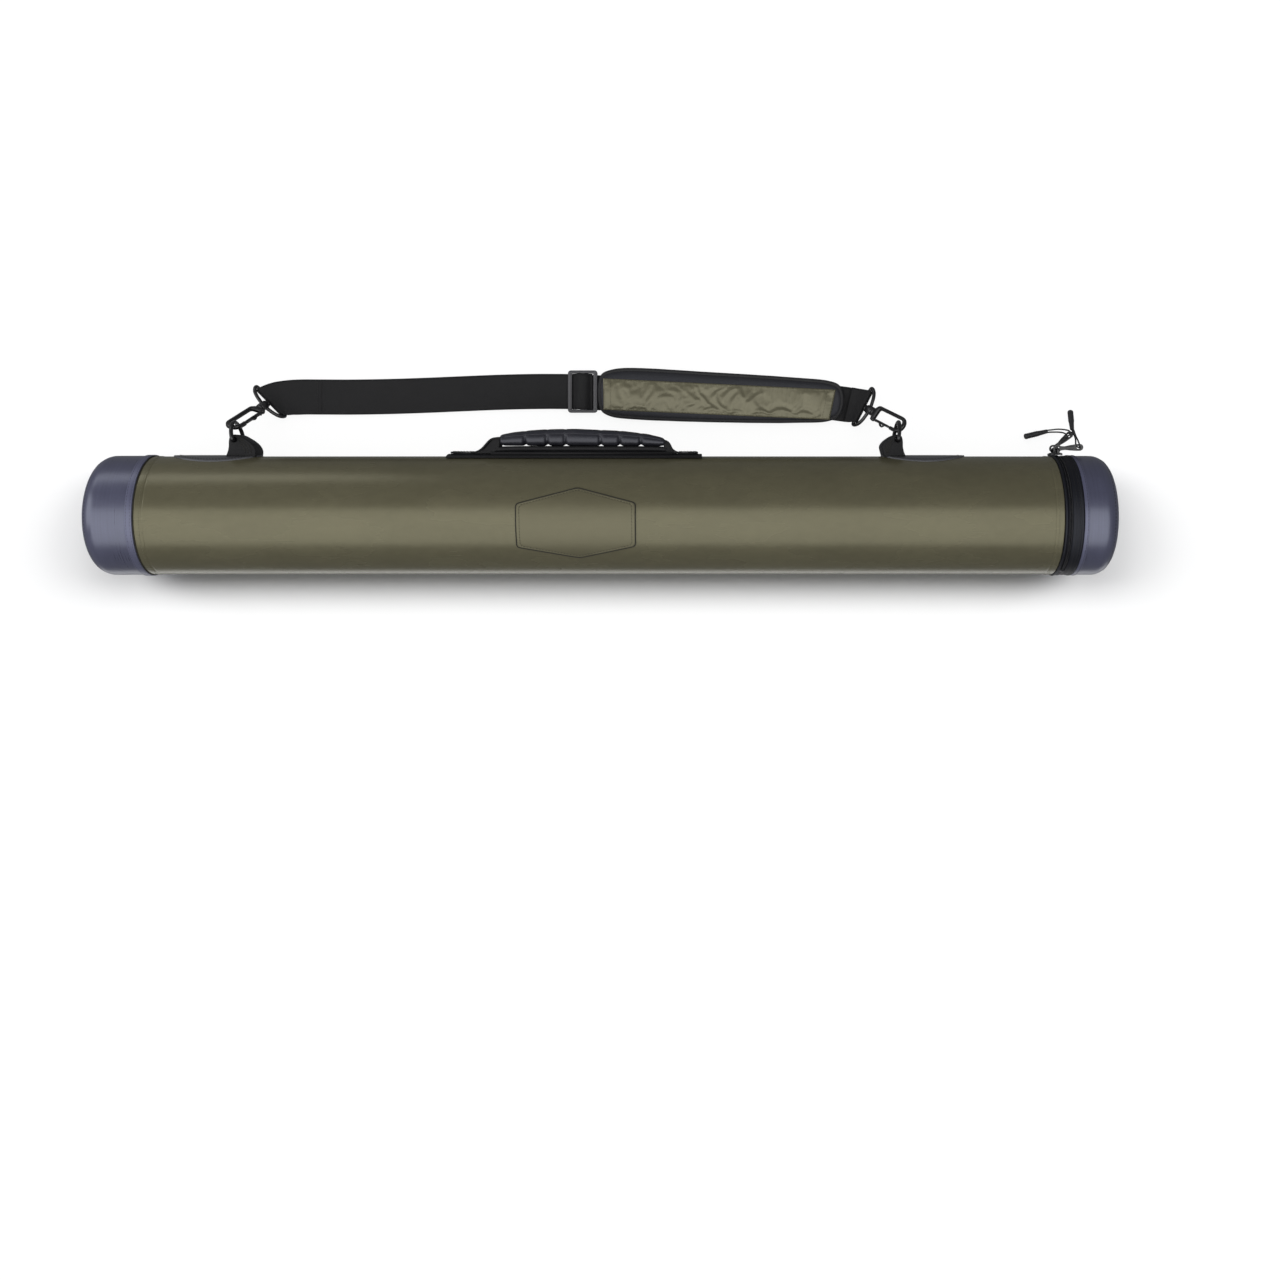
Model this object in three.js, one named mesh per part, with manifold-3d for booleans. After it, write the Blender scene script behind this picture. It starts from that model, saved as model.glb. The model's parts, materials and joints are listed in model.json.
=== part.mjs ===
// Rod case: a padded hard tube for fishing rods, lying on its side.
// Millimetres, +X along the tube towards the zipped lid, +Y towards the carry
// handle and shoulder strap, +Z up. The floor is z = 0.
import * as THREE from 'three';
import { mergeVertices } from 'three/addons/utils/BufferGeometryUtils.js';
import Module from 'manifold-3d';

const wasm = await Module();
wasm.setup();

// ---------------------------------------------------------------- dimensions
const HALF_LENGTH = 505;          // overall length 1010
const SIDES = 36;                 // flats round every shell, one facing down
const R_FLOOR = 60.9;             // cap hem and zip welt, which touch the floor
const R_CAP = 60.0;               // slate caps
const R_SLEEVE = 59.4;            // olive outer fabric
const R_SKIN_IN = 58.4;
const R_FOAM = [55.8, 58.1];      // foam wrap round the hard tube
const R_TUBE = [52.5, 55.5];      // hard inner tube, 110 mm pipe size
const R_LINING = [51.4, 52.2];
const CAP_CORNER = 17;            // round of the cap's end
const CAP_SKIN = 1.6;
const CAP_EDGE_X = -450.3;        // open edge of the base cap
const HEM_X = [-458.0, -451.0];
const SLEEVE_X = [-450, 449];
const ZIP_X = 454.8;              // plane where lid and body part
const BODY_TAPE_X = [449.3, 452.6];
const BODY_COIL_X = [452.9, 454.6];
const LID_COIL_X = [455.0, 456.7];
const LID_TAPE_X = [457.0, 467.7];
const LID_SHELL_X = 468.0;
const ZIP_HALF_ANGLE = 154;       // coil runs this far each way from the handle side
const HINGE_HALF_ANGLE = 25;      // width of the lid's fabric hinge, opposite
const STRAP_OUTER_Y = 152.5;      // far edge of the strap pad from the tube axis

const SLIDER_ANGLE = 6.6;         // the two zip sliders rest side by side
const CROWN_R = 67.5;             // pivot of the pull tab, from the tube axis
const TAB_HOLE = 21;              // pull tab: pivot to cord hole
const TAB_TIP = 26;
const TAB_A_REST = 3;             // degrees from +X
const TAB_B_REST = 40;
const CORD_D = 1.6;
const PULL_R = 3.0;

const HANDLE_X = [-156, 99];      // base webbing
const HANDLE_GRIP_X = [-104, 63];
const GRIP_HALF = 15;
const HANDLE_WEB_HALF = 12.5;

const RING_R = 18;                // D-ring centreline
const RING_WIRE = 2;
const RING_Y = 76;                // D-ring straight bar, from the tube axis
const WEB_HALF = 18.5;            // 37 mm strap webbing
const WEB_T = 1.6;
const STRAP_Z = -59.95;           // middle of the lower webbing layer

const offsetY = -(STRAP_OUTER_Y - R_FLOOR) / 2;

// ------------------------------------------------------------------ helpers
const V = (x, y, z) => new THREE.Vector3(x, y, z);
const rad = THREE.MathUtils.degToRad;

function weld(geometry) {
  const g = geometry.index ? geometry.toNonIndexed() : geometry.clone();
  for (const name of Object.keys(g.attributes)) if (name !== 'position') g.deleteAttribute(name);
  g.clearGroups();
  return mergeVertices(g, 1e-3);
}

function toSolid(geometry) {
  const g = weld(geometry);
  const p = g.attributes.position.array;
  let tri = [];
  const idx = g.index.array;
  for (let i = 0; i < idx.length; i += 3) {
    const [a, b, c] = [idx[i], idx[i + 1], idx[i + 2]];
    if (a !== b && b !== c && c !== a) tri.push(a, b, c);
  }
  let volume = 0;
  for (let i = 0; i < tri.length; i += 3) {
    const [a, b, c] = [tri[i] * 3, tri[i + 1] * 3, tri[i + 2] * 3];
    volume += p[a] * (p[b + 1] * p[c + 2] - p[b + 2] * p[c + 1])
      - p[a + 1] * (p[b] * p[c + 2] - p[b + 2] * p[c])
      + p[a + 2] * (p[b] * p[c + 1] - p[b + 1] * p[c]);
  }
  if (volume < 0) {
    for (let i = 0; i < tri.length; i += 3) [tri[i + 1], tri[i + 2]] = [tri[i + 2], tri[i + 1]];
  }
  return new wasm.Manifold(new wasm.Mesh({
    numProp: 3, vertProperties: new Float32Array(p), triVerts: new Uint32Array(tri),
  }));
}

function toGeometry(solid) {
  const m = solid.getMesh();
  const g = new THREE.BufferGeometry();
  g.setAttribute('position', new THREE.BufferAttribute(new Float32Array(m.vertProperties), 3));
  g.setIndex(new THREE.BufferAttribute(new Uint32Array(m.triVerts), 1));
  return g;
}

const closed = (geometry) => toGeometry(toSolid(geometry));
const join = (first, ...rest) => toGeometry(rest.reduce((s, g) => s.add(toSolid(g)), toSolid(first)));
const cut = (first, ...rest) => toGeometry(rest.reduce((s, g) => s.subtract(toSolid(g)), toSolid(first)));
const common = (a, b) => toGeometry(toSolid(a).intersect(toSolid(b)));

// local x, y, z laid along the given world directions
function laid(geometry, ex, ey, ez, at = V(0, 0, 0)) {
  return geometry.applyMatrix4(new THREE.Matrix4().makeBasis(ex, ey, ez).setPosition(at));
}
const X = V(1, 0, 0), Y = V(0, 1, 0), Z = V(0, 0, 1);

// profile of [x, distance of the flats from the axis], revolved about X, with a flat facing down
function shell(profile) {
  const k = 1 / Math.cos(Math.PI / SIDES);
  const pts = profile.map(([x, r]) => new THREE.Vector2(r * k, x));
  const g = new THREE.LatheGeometry(pts, SIDES);
  g.rotateZ(-Math.PI / 2);
  g.rotateX(Math.PI / SIDES);
  return closed(g);
}
const ring = ([x0, x1], [r0, r1]) => shell([[x0, r0], [x1, r0], [x1, r1], [x0, r1], [x0, r0]]);
const disc = ([x0, x1], r) => shell([[x0, 0], [x0, r], [x1, r], [x1, 0]]);

// cap skin with a rounded end: edge x, end x, outer flat radius
function capShell(edgeX, endX, r, skin, corner) {
  const s = Math.sign(endX - edgeX);
  const cx = endX - s * corner, cr = r - corner;
  const arc = (q, n, from, to) => Array.from({ length: n + 1 }, (_, i) => {
    const a = rad(from + (to - from) * i / n);
    return [cx + s * q * Math.sin(a), cr + q * Math.cos(a)];
  });
  return shell([[endX, 0], ...arc(corner, 4, 90, 0), [edgeX, r], [edgeX, r - skin],
    ...arc(corner - skin, 4, 0, 90), [endX - s * skin, 0]]);
}

// part of a ring, angles in degrees from +Y towards +Z, between x0 and x1
function sector([x0, x1], [r0, r1], from, to, segments) {
  const s = new THREE.Shape();
  s.absarc(0, 0, r1, rad(from), rad(to), false);
  s.absarc(0, 0, r0, rad(to), rad(from), true);
  s.closePath();
  const g = new THREE.ExtrudeGeometry(s, { depth: x1 - x0, bevelEnabled: false, curveSegments: segments });
  return closed(laid(g, Y, Z, X, V(x0, 0, 0)));
}

// flat outline in local x, y, extruded along local z from z0 to z1
function plate(shape, z0, z1, curveSegments = 8) {
  const g = new THREE.ExtrudeGeometry(shape, { depth: z1 - z0, bevelEnabled: false, curveSegments });
  g.translate(0, 0, z0);
  return g;
}
function outline(points) {
  const pts = points.map(([x, y]) => new THREE.Vector2(x, y));
  return new THREE.Shape(THREE.ShapeUtils.isClockWise(pts) ? pts.reverse() : pts);
}

// round bar along a smooth path
function rod(points, radius, steps, sides = 8) {
  const curve = points.length > 2 ? new THREE.CatmullRomCurve3(points, false, 'centripetal')
    : new THREE.LineCurve3(points[0], points[1]);
  return rodAlong(curve, radius, steps, sides);
}
function rodAlong(curve, radius, steps, sides = 8) {
  const s = outline(Array.from({ length: sides }, (_, i) => {
    const a = 2 * Math.PI * (i + 0.5) / sides;
    return [radius * Math.cos(a), radius * Math.sin(a)];
  }));
  return new THREE.ExtrudeGeometry(s, { steps, extrudePath: curve, bevelEnabled: false });
}

// flat webbing: a box bent so that its middle follows stations [centre, across, normal]
function ribbon(stations, halfWidth, thickness) {
  const n = stations.length - 1;
  const g = new THREE.BoxGeometry(1, 2 * halfWidth, thickness, n, 1, 1);
  const p = g.attributes.position;
  for (let i = 0; i < p.count; i++) {
    const k = Math.round((p.getX(i) + 0.5) * n);
    const [c, across, normal] = stations[k];
    const q = c.clone().addScaledVector(across, p.getY(i)).addScaledVector(normal, p.getZ(i));
    p.setXYZ(i, q.x, q.y, q.z);
  }
  return g;
}

const LOOK = {
  olive: [0x6b6a50, 0.72, 0], slate: [0x62647c, 0.5, 0], black: [0x26272b, 0.8, 0],
  rubber: [0x2a2b31, 0.45, 0], plastic: [0x1f2023, 0.4, 0], metal: [0x232426, 0.3, 0.7],
  foam: [0x8a8c90, 0.9, 0], pipe: [0xa8a8a4, 0.5, 0], lining: [0x4c4d52, 0.8, 0],
};
function mesh(name, geometry, look) {
  const [color, roughness, metalness] = LOOK[look];
  const m = new THREE.Mesh(geometry, new THREE.MeshStandardMaterial({ color, roughness, metalness }));
  m.name = name;
  return m;
}

const group = new THREE.Group();
group.position.set(0, offsetY, R_FLOOR);
const add = (name, geometry, look, parent = group) => {
  const m = mesh(name, geometry, look);
  parent.add(m);
  return m;
};

// --------------------------------------------------------------- case body
add('inner_tube', ring([-494, 454.3], R_TUBE), 'pipe');
add('tube_lining', ring([-482.3, 454.3], R_LINING), 'lining');
add('foam_wrap', ring([-488, 449], R_FOAM), 'foam');
add('outer_sleeve', ring(SLEEVE_X, [R_SKIN_IN, R_SLEEVE]), 'olive');
add('base_cap', capShell(CAP_EDGE_X, -HALF_LENGTH, R_CAP, CAP_SKIN, CAP_CORNER), 'slate');
add('base_cap_hem', ring(HEM_X, [R_CAP + 0.3, R_FLOOR]), 'slate');
add('base_end_padding', disc([-502.9, -494.4], 42.5), 'foam');
add('base_end_disc', disc([-494, -491], R_LINING[1]), 'pipe');
add('base_foam_pad', disc([-490.7, -482.7], 51.2), 'foam');
add('body_zip_tape', ring(BODY_TAPE_X, [R_SKIN_IN, R_FLOOR]), 'black');
add('body_zip_coil', sector(BODY_COIL_X, [59.0, 60.3], -ZIP_HALF_ANGLE, ZIP_HALF_ANGLE, 26), 'plastic');
add('lid_hinge_tape', sector([BODY_COIL_X[0], LID_COIL_X[1]], [59.0, 60.3],
  180 - HINGE_HALF_ANGLE, 180 + HINGE_HALF_ANGLE, 8), 'black');

// raised fabric badge, a plain long hexagon lying over the upper side
const badgeOutline = outline([[-81, 12.6], [-21.7, 28], [34.2, 13.5], [34.2, -28.4], [-20, -40], [-80.5, -29.4]]);
add('badge_patch', common(ring([-90, 45], [59.75, 60.7]), plate(badgeOutline, 20, 70)), 'olive');

// slate anchor patches under the strap rings, long ovals on the handle side
for (const [side, cx, half] of [['left', -388, 44], ['right', 321, 42]]) {
  const oval = new THREE.Shape();
  oval.absellipse(0, 0, half, 25, 0, 2 * Math.PI, false, 0);
  const prism = laid(plate(oval, 40, 70, 12), X, Z.clone().negate(), Y, V(cx, 0, 0));
  add(`anchor_patch_${side}`, common(ring([cx - 60, cx + 60], [59.75, 60.6]), prism), 'slate');
}

// ------------------------------------------------------------ lid, zipped on
add('lid_shell', capShell(LID_SHELL_X, HALF_LENGTH, R_CAP, CAP_SKIN, CAP_CORNER), 'slate');
add('lid_zip_tape', ring(LID_TAPE_X, [R_SKIN_IN, 60.6]), 'black');
add('lid_zip_coil', sector(LID_COIL_X, [59.0, 60.3], -ZIP_HALF_ANGLE, ZIP_HALF_ANGLE, 26), 'plastic');
add('lid_inner_cup', shell([[494.6, 0], [494.6, R_TUBE[1]], [455.3, R_TUBE[1]], [455.3, R_TUBE[0]],
  [491.6, R_TUBE[0]], [491.6, 0]]), 'pipe');
add('lid_foam_wrap', ring([457.2, 488], R_FOAM), 'foam');
add('lid_end_padding', disc([494.9, 502.9], 42.5), 'foam');
add('lid_foam_pad', disc([483.2, 491.3], 51.6), 'foam');

// ------------------------------------------------------------- zip sliders
// Each slider is drawn on the +Y side and turned round the tube by its angle.
function sliderGeometry() {
  const body = outline([[-3.6, -6.5], [3.6, -6.5], [4.9, -2], [4.9, 5], [3.2, 6.5], [-3.2, 6.5], [-4.9, 5], [-4.9, -2]]);
  const base = laid(plate(body, 61.5, 63.0), X, Z.clone().negate(), Y, V(0, 0, 0));
  const arch = outline([[-5.4, 62.6], [-5.4, 67.3], [-4.2, 68.5], [4.2, 68.5], [5.4, 67.3], [5.4, 62.6]]);
  arch.holes.push(new THREE.Path([[-3.4, 62.0], [3.4, 62.0], [3.4, 66.5], [-3.4, 66.5]].map(([a, b]) => new THREE.Vector2(a, b))));
  const bridge = outline([[-5.4, 62.6], [-5.4, 67.3], [-4.2, 68.5], [4.2, 68.5], [5.4, 67.3], [5.4, 62.6],
    [3.4, 62.6], [3.4, 66.5], [-3.4, 66.5], [-3.4, 62.6]]);
  return join(base, laid(plate(bridge, -1.5, 1.5), Z, Y, X.clone().negate(), V(0, 0, 0)));
}
function tabGeometry() {
  const eye = new THREE.Shape();
  eye.absarc(0, 0, 4.0, 0, 2 * Math.PI, false);
  const blade = outline([[3.2, -2.2], [7, -1.9], [13, -2.9], [TAB_TIP - 3, -3.5], [TAB_TIP - 0.8, -2.6],
    [TAB_TIP, 0], [TAB_TIP - 0.8, 2.6], [TAB_TIP - 3, 3.5], [13, 2.9], [7, 1.9], [3.2, 2.2]]);
  const hole = (x, r) => { const s = new THREE.Shape(); s.absarc(x, 0, r, 0, 2 * Math.PI, false); return plate(s, -3, 3, 6); };
  return cut(join(plate(eye, -0.8, 0.8, 8), plate(blade, -0.8, 0.8)), hole(0, 2.2), hole(TAB_HOLE, 1.6));
}
for (const [id, angle, rest] of [['a', SLIDER_ANGLE, TAB_A_REST], ['b', -SLIDER_ANGLE, TAB_B_REST]]) {
  const turned = new THREE.Group();
  turned.rotation.x = rad(angle);
  group.add(turned);
  const slider = add(`zip_slider_${id}`, sliderGeometry(), 'metal', turned);
  slider.position.x = ZIP_X;
  const tab = add(`pull_tab_${id}`, tabGeometry(), 'metal', turned);
  tab.position.set(ZIP_X, CROWN_R, 0);
  tab.rotation.z = rad(rest);
}

// pull cords: a loop through each tab's hole, both ends held in a moulded end
const along = (h, ...terms) => terms.reduce((p, [v, k]) => p.addScaledVector(v, k), h.clone());
const TAB_SIDE = {};
for (const [id, angle, rest] of [['a', SLIDER_ANGLE, TAB_A_REST], ['b', -SLIDER_ANGLE, TAB_B_REST]]) {
  const turn = new THREE.Matrix4().makeRotationX(rad(angle));
  const r = rad(rest);
  TAB_SIDE[id] = {
    hole: V(ZIP_X + TAB_HOLE * Math.cos(r), CROWN_R + TAB_HOLE * Math.sin(r), 0).applyMatrix4(turn),
    n: V(0, 0, 1).applyMatrix4(turn), d: V(Math.cos(r), Math.sin(r), 0).applyMatrix4(turn),
    p: V(-Math.sin(r), Math.cos(r), 0).applyMatrix4(turn),
  };
}
const { hole: hA, n: nA, p: pA } = TAB_SIDE.a, { hole: hB, n: nB, d: dB } = TAB_SIDE.b;
const cordA = [
  V(483.5, 89.3, -41.6), V(482.4, 86.4, -31.5), V(480.2, 82.8, -19.8), V(478.0, 79.6, -8), V(476.4, 76.6, 2.5),
  along(hA, [pA, 5.9], [nA, 1.2]), along(hA, [pA, 3.6], [nA, 4.3]), along(hA, [pA, 0.6], [nA, 3.6]), hA,
  along(hA, [nA, -3.8], [pA, 0.4]), along(hA, [nA, -8], [pA, 2.2]), V(478.2, 76.2, -10), V(480.3, 79.6, -20.5),
  V(482.2, 83.4, -32), V(483.5, 87.9, -43.3)];
const cordB = [
  V(460.8, 87.3, -57.8), V(465.5, 87.8, -57.2), V(471.0, 88.4, -54.0), V(474.8, 88.0, -47), V(476.2, 87.0, -36.5),
  V(476.0, 85.9, -26), along(hB, [nB, -7.5], [dB, 6.3]), along(hB, [nB, -1], [dB, 6.9]), along(hB, [nB, 3.2], [dB, 5.4]),
  along(hB, [nB, 4.4], [dB, 1.8]), hB, along(hB, [nB, -3.8]), along(hB, [nB, -8.5], [dB, 1.2]), V(473.2, 82.0, -26),
  V(473.6, 83.8, -36), V(472.0, 85.0, -46), V(468.5, 85.4, -53.5), V(464, 85.4, -57.4), V(461.4, 85.1, -57.8)];
add('pull_cord_a', closed(rod(cordA, CORD_D / 2, 34, 8)), 'black');
add('pull_cord_b', closed(rod(cordB, CORD_D / 2, 38, 8)), 'black');
function pullEnd(from, to) {
  const way = to.clone().sub(from), length = way.length();
  const g = new THREE.LatheGeometry([[0, 0], [1.9, 0], [2.3, 1.2], [2.6, 7], [PULL_R, 9], [PULL_R, length - 1.5],
    [2.2, length], [0, length]].map(([r, y]) => new THREE.Vector2(r, y)), 12);
  g.applyQuaternion(new THREE.Quaternion().setFromUnitVectors(Y, way.normalize()));
  return closed(g.translate(from.x, from.y, from.z));
}
add('pull_end_a', pullEnd(V(483.6, 89.3, -43.0), V(485.8, 107.6, -57.3)), 'rubber');
add('pull_end_b', pullEnd(V(460.2, 86.0, -57.8), V(437.6, 80.6, -57.8)), 'rubber');

// ------------------------------------------------------------ carry handle
add('handle_base', sector(HANDLE_X, [59.9, 62.0], -17.5, 17.5, 10), 'black');
function stripOutline(points, t) {
  // constant-thickness strip along a polyline, mitred
  const left = [], right = [];
  points.forEach(([x, y], i) => {
    const a = points[Math.max(i - 1, 0)], b = points[Math.min(i + 1, points.length - 1)];
    const d0 = new THREE.Vector2(x - a[0], y - a[1]), d1 = new THREE.Vector2(b[0] - x, b[1] - y);
    if (i === 0) d0.copy(d1);
    if (i === points.length - 1) d1.copy(d0);
    d0.normalize(); d1.normalize();
    const n0 = new THREE.Vector2(-d0.y, d0.x), n1 = new THREE.Vector2(-d1.y, d1.x);
    const m = n0.clone().add(n1).normalize();
    const w = t / 2 / m.dot(n0);
    left.push([x + m.x * w, y + m.y * w]);
    right.unshift([x - m.x * w, y - m.y * w]);
  });
  return outline([...left, ...right]);
}
const handlePath = [[-152, 63.6], [-128, 63.6], [-122, 66.2], [-112, 76.0], [-107, 77.4], [-60, 77.4], [20, 77.4],
  [58, 75.6], [65, 73.2], [69.4, 66], [74, 63.6], [95, 63.6]];
add('handle_webbing', closed(plate(stripOutline(handlePath, 2.2), -HANDLE_WEB_HALF, HANDLE_WEB_HALF)), 'black');
const gripOutline = outline([[-104, 70.6], [-99, 70.0], [56, 69.4], [61, 70.2], [63, 72.5], [62, 76.6], [44, 81.5], [18, 85],
  [-28, 87], [-58, 86.4], [-90, 82.2], [-104, 81.2]]);
const gripBody = plate(gripOutline, -GRIP_HALF, GRIP_HALF);
const slot = plate(stripOutline([[-120, 77.4], [-60, 77.4], [20, 77.4], [58, 75.6], [80, 68.07]], 3.0), -12.9, 12.9);
add('handle_grip', cut(gripBody, slot), 'rubber');

// --------------------------------------------- strap rings and their tabs
const RINGS = { left: { x: -368.4, tilt: -11 }, right: { x: 294.4, tilt: 8 } };
for (const [side, { x, tilt }] of Object.entries(RINGS)) {
  const s = side === 'left' ? 1 : -1;      // the loop bulges towards the handle
  const loop = outline([[-9, 61.2], [-5.2, 66], [-4.9, 76], [-3.4, 79.4], [0, 80.9], [3.4, 79.6], [7, 75], [10.6, 69.5], [12.4, 64.4], [11.6, 61.2]]
    .map(([a, b]) => [s * a, b]));
  loop.holes.push(new THREE.Path([[-5, 63.2], [-3.2, 66.4], [-2.9, 75.6], [-2, 78], [0, 78.9], [2, 78.2], [5.4, 73.8], [8.8, 68.6], [10.3, 64.6], [10, 63.2]]
    .map(([a, b]) => new THREE.Vector2(s * a, b))));
  add(`ring_tab_${side}`, closed(plate(loop, -13, 13).translate(x, 0, 0)), 'black');
  const out = V(Math.sin(rad(tilt)), Math.cos(rad(tilt)), 0);
  const centre = V(x, RING_Y, 0);
  const arcPoints = Array.from({ length: 17 }, (_, i) => {
    const a = rad(-93 + 186 * i / 16);
    return centre.clone().addScaledVector(out, RING_R * Math.cos(a)).addScaledVector(Z, RING_R * Math.sin(a));
  });
  const bar = new THREE.CylinderGeometry(RING_WIRE, RING_WIRE, 2 * RING_R + 2 * RING_WIRE, 8);
  bar.rotateX(Math.PI / 2).translate(centre.x, centre.y, centre.z);
  add(`strap_ring_${side}`, join(rod(arcPoints, RING_WIRE, 16, 8), bar), 'metal');
}

// ------------------------------------------------- snap hooks and swivel eyes
const HOOK_WIRE_U = 43;           // swivel to the ring's wire along the hook
function hookBody() {
  const s = new THREE.Shape();
  s.moveTo(4, -4); s.lineTo(6, -8.9); s.lineTo(11, -8.9); s.lineTo(11, 4.4); s.lineTo(13, 5.2); s.lineTo(45, 5.2);
  s.absarc(45, 0, 5.2, Math.PI / 2, -Math.PI / 2, true);
  s.lineTo(37.4, -5.2); s.lineTo(37.4, -8.9); s.lineTo(45, -8.9);
  s.absarc(45, 0, 8.9, -Math.PI / 2, Math.PI / 2, false);
  s.lineTo(9, 8.9); s.lineTo(4, 4.4); s.closePath();
  const body = plate(s, -2.3, 2.3, 8);
  const stud = new THREE.CylinderGeometry(2.2, 2.2, 12.5, 10).rotateZ(Math.PI / 2).translate(-1.75, 0, 0);
  const head = new THREE.CylinderGeometry(3.6, 3.6, 2.4, 12).rotateZ(Math.PI / 2).translate(-7.8, 0, 0);
  return join(body, stud, head);
}
function gateBody() {
  return closed(plate(outline([[12.3, -7.9], [36.8, -7.9], [36.8, -5.6], [12.3, -5.4]]), -2.0, 2.0));
}
function eyeBody(half) {
  // hub round the stud, then a D of round bar that takes the webbing
  const hub = new THREE.CylinderGeometry(4.6, 4.6, 9.6, 12).rotateZ(Math.PI / 2).translate(-1.2, 0, 0);
  const hole = new THREE.CylinderGeometry(2.6, 2.6, 30, 12).rotateZ(Math.PI / 2);
  const hubRing = cut(hub, hole);
  const armA = rod([V(-3.0, 3.6, 0), V(-4.6, 10, 0), V(-8.2, half - 3.4, 0), V(-12.2, half - 0.2, 0), V(-15.5, half, 0)], 1.9, 7, 8);
  const armB = rod([V(-3.0, -3.6, 0), V(-4.6, -10, 0), V(-8.2, -half + 3.4, 0), V(-12.2, -half + 0.2, 0), V(-15.5, -half, 0)], 1.9, 7, 8);
  const bar = new THREE.CylinderGeometry(1.9, 1.9, 2 * half + 3.8, 10).translate(-15.5, 0, 0);
  return join(hubRing, armA, armB, bar);
}
const EYE_HALF = 21.2;
const HOOKS = {
  left: { swivel: V(-358, 110.5, -40.3), wire: V(-372.2, 92.9, -6.2), roll: 9 },
  right: { swivel: V(274.9, 107, -41), wire: V(296.9, 92.3, -7.6), roll: 9 },
};
const eyeFrames = {};
for (const [side, h] of Object.entries(HOOKS)) {
  const a = h.wire.clone().sub(h.swivel).normalize();
  const start = h.wire.clone().addScaledVector(a, -HOOK_WIRE_U);   // swivel centre, exact length
  const v = (side === 'left' ? V(0.7, -0.1, 0) : V(0.556, 0.832, 0));
  v.addScaledVector(a, -v.dot(a)).normalize();
  if (side === 'left') v.negate();
  const n = a.clone().cross(v);
  add(`snap_hook_${side}`, laid(hookBody(), a, v, n, start), 'metal');
  add(`hook_gate_${side}`, laid(gateBody(), a, v, n, start), 'metal');
  // the eye lies nearly level, its +Y end a little raised
  const level = V(-a.y, a.x, 0).normalize();
  if (level.y < 0) level.negate();
  const tilted = a.clone().cross(level);
  if (tilted.z < 0) tilted.negate();
  const e = level.multiplyScalar(Math.cos(rad(h.roll))).addScaledVector(tilted, Math.sin(rad(h.roll)));
  const f = a.clone().cross(e);
  add(`strap_eye_${side}`, laid(eyeBody(EYE_HALF), a, e, f, start), 'plastic');
  eyeFrames[side] = { a, e, f, bar: start.clone().addScaledVector(a, -15.5), start, v, n };
}

// ------------------------------------------------------------ strap webbing
// One length of webbing: from a short sewn tail near the right eye, round that
// eye, under the pad, along the floor to the left eye, round it, and back on
// top of itself to the adjuster.
const LOOP_R = 1.9 + 0.4 + WEB_T / 2;
const lower = STRAP_Z, upper = STRAP_Z + WEB_T + 0.4;
function barLoop(frame, inward) {
  // stations round a bar: inward points from the bar along the strap, horizontal
  const e = frame.e.clone();
  const t = inward.clone().addScaledVector(e, -inward.dot(e)).normalize();
  let up = t.clone().cross(e).normalize();
  if (up.z < 0) up = up.negate();
  return { e, t, up, bar: frame.bar };
}
const stations = [];
const push = (c, across, normal) => stations.push([c, across.clone().normalize(), normal.clone().normalize()]);
const eR = barLoop(eyeFrames.right, V(-0.97, 0.2, 0));
const eL = barLoop(eyeFrames.left, V(0.88, 0.48, 0));
// across points to the -X-going strap's right hand, +Y; the normal is kept by the right-hand rule
function around(E, sign, from, to, n) {
  for (let i = 0; i <= n; i++) {
    const q = rad(from + (to - from) * i / n);
    const radial = E.up.clone().multiplyScalar(Math.cos(q)).addScaledVector(E.t, -Math.sin(q) * 1);
    const c = E.bar.clone().addScaledVector(radial, LOOP_R);
    push(c, E.e.clone().multiplyScalar(sign), radial.clone());
  }
}
const yAxis = V(0, 1, 0);
const blendV = (a, b, k) => a.clone().lerp(b, k).normalize();
// tail on top, near the right eye
push(V(252.5, 114.4, upper + 2.2), blendV(eR.e, yAxis, 0.5), Z);
push(V(259, 113.4, upper + 3.4), blendV(eR.e, yAxis, 0.25), Z);
around(eR, 1, 0, 180, 8);
push(V(258, 113.6, lower + 0.9), blendV(eR.e, yAxis, 0.35).setZ(0.03), Z.clone().negate());
push(V(247, 115.2, lower), blendV(eR.e, yAxis, 0.75).setZ(0), Z.clone().negate());
for (const [x, y] of [[228, 117.4], [180, 119.6], [108, 122], [40, 124.6], [6, 126.2], [-39, 128.2], [-75, 128.2], [-112, 127.4],
  [-150, 125.9], [-190, 124.2], [-230, 122.9], [-270, 122.3], [-300, 122.4]]) push(V(x, y, lower), yAxis, Z.clone().negate());
push(V(-322, 122.4, lower), blendV(yAxis, eL.e, 0.35).setZ(0), Z.clone().negate());
push(V(-338, 121.2, lower + 0.7), blendV(yAxis, eL.e, 0.75).setZ(0.03), Z.clone().negate());
around(eL, 1, 180, 0, 8);
push(V(-338, 121.2, upper + 3.2), blendV(yAxis, eL.e, 0.75), Z);
push(V(-322, 122.4, upper + 1.6), blendV(yAxis, eL.e, 0.35), Z);
for (const [x, y] of [[-300, 122.4], [-270, 122.3], [-230, 122.9], [-190, 124.2], [-150, 125.9], [-112, 127.4], [-75, 128.2], [-52, 128.2], [-26, 127.9]])
  push(V(x, y, upper), yAxis, Z);
add('strap_webbing', closed(ribbon(stations, WEB_HALF, WEB_T)), 'black');

// adjuster: a flat frame with a middle bar, above both layers
const rect = (x0, x1, y0, y1) => outline([[x0, y0], [x1, y0], [x1, y1], [x0, y1]]);
add('strap_adjuster', cut(plate(rect(-15.5, 15.5, -22.2, 22.2), upper + 1.3, upper + 4.1),
  plate(rect(-11, -2, -19, 19), upper, upper + 6), plate(rect(2, 11, -19, 19), upper, upper + 6))
  .rotateZ(rad(0.5)).translate(-25.6, 127.9, 0), 'plastic');

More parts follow.
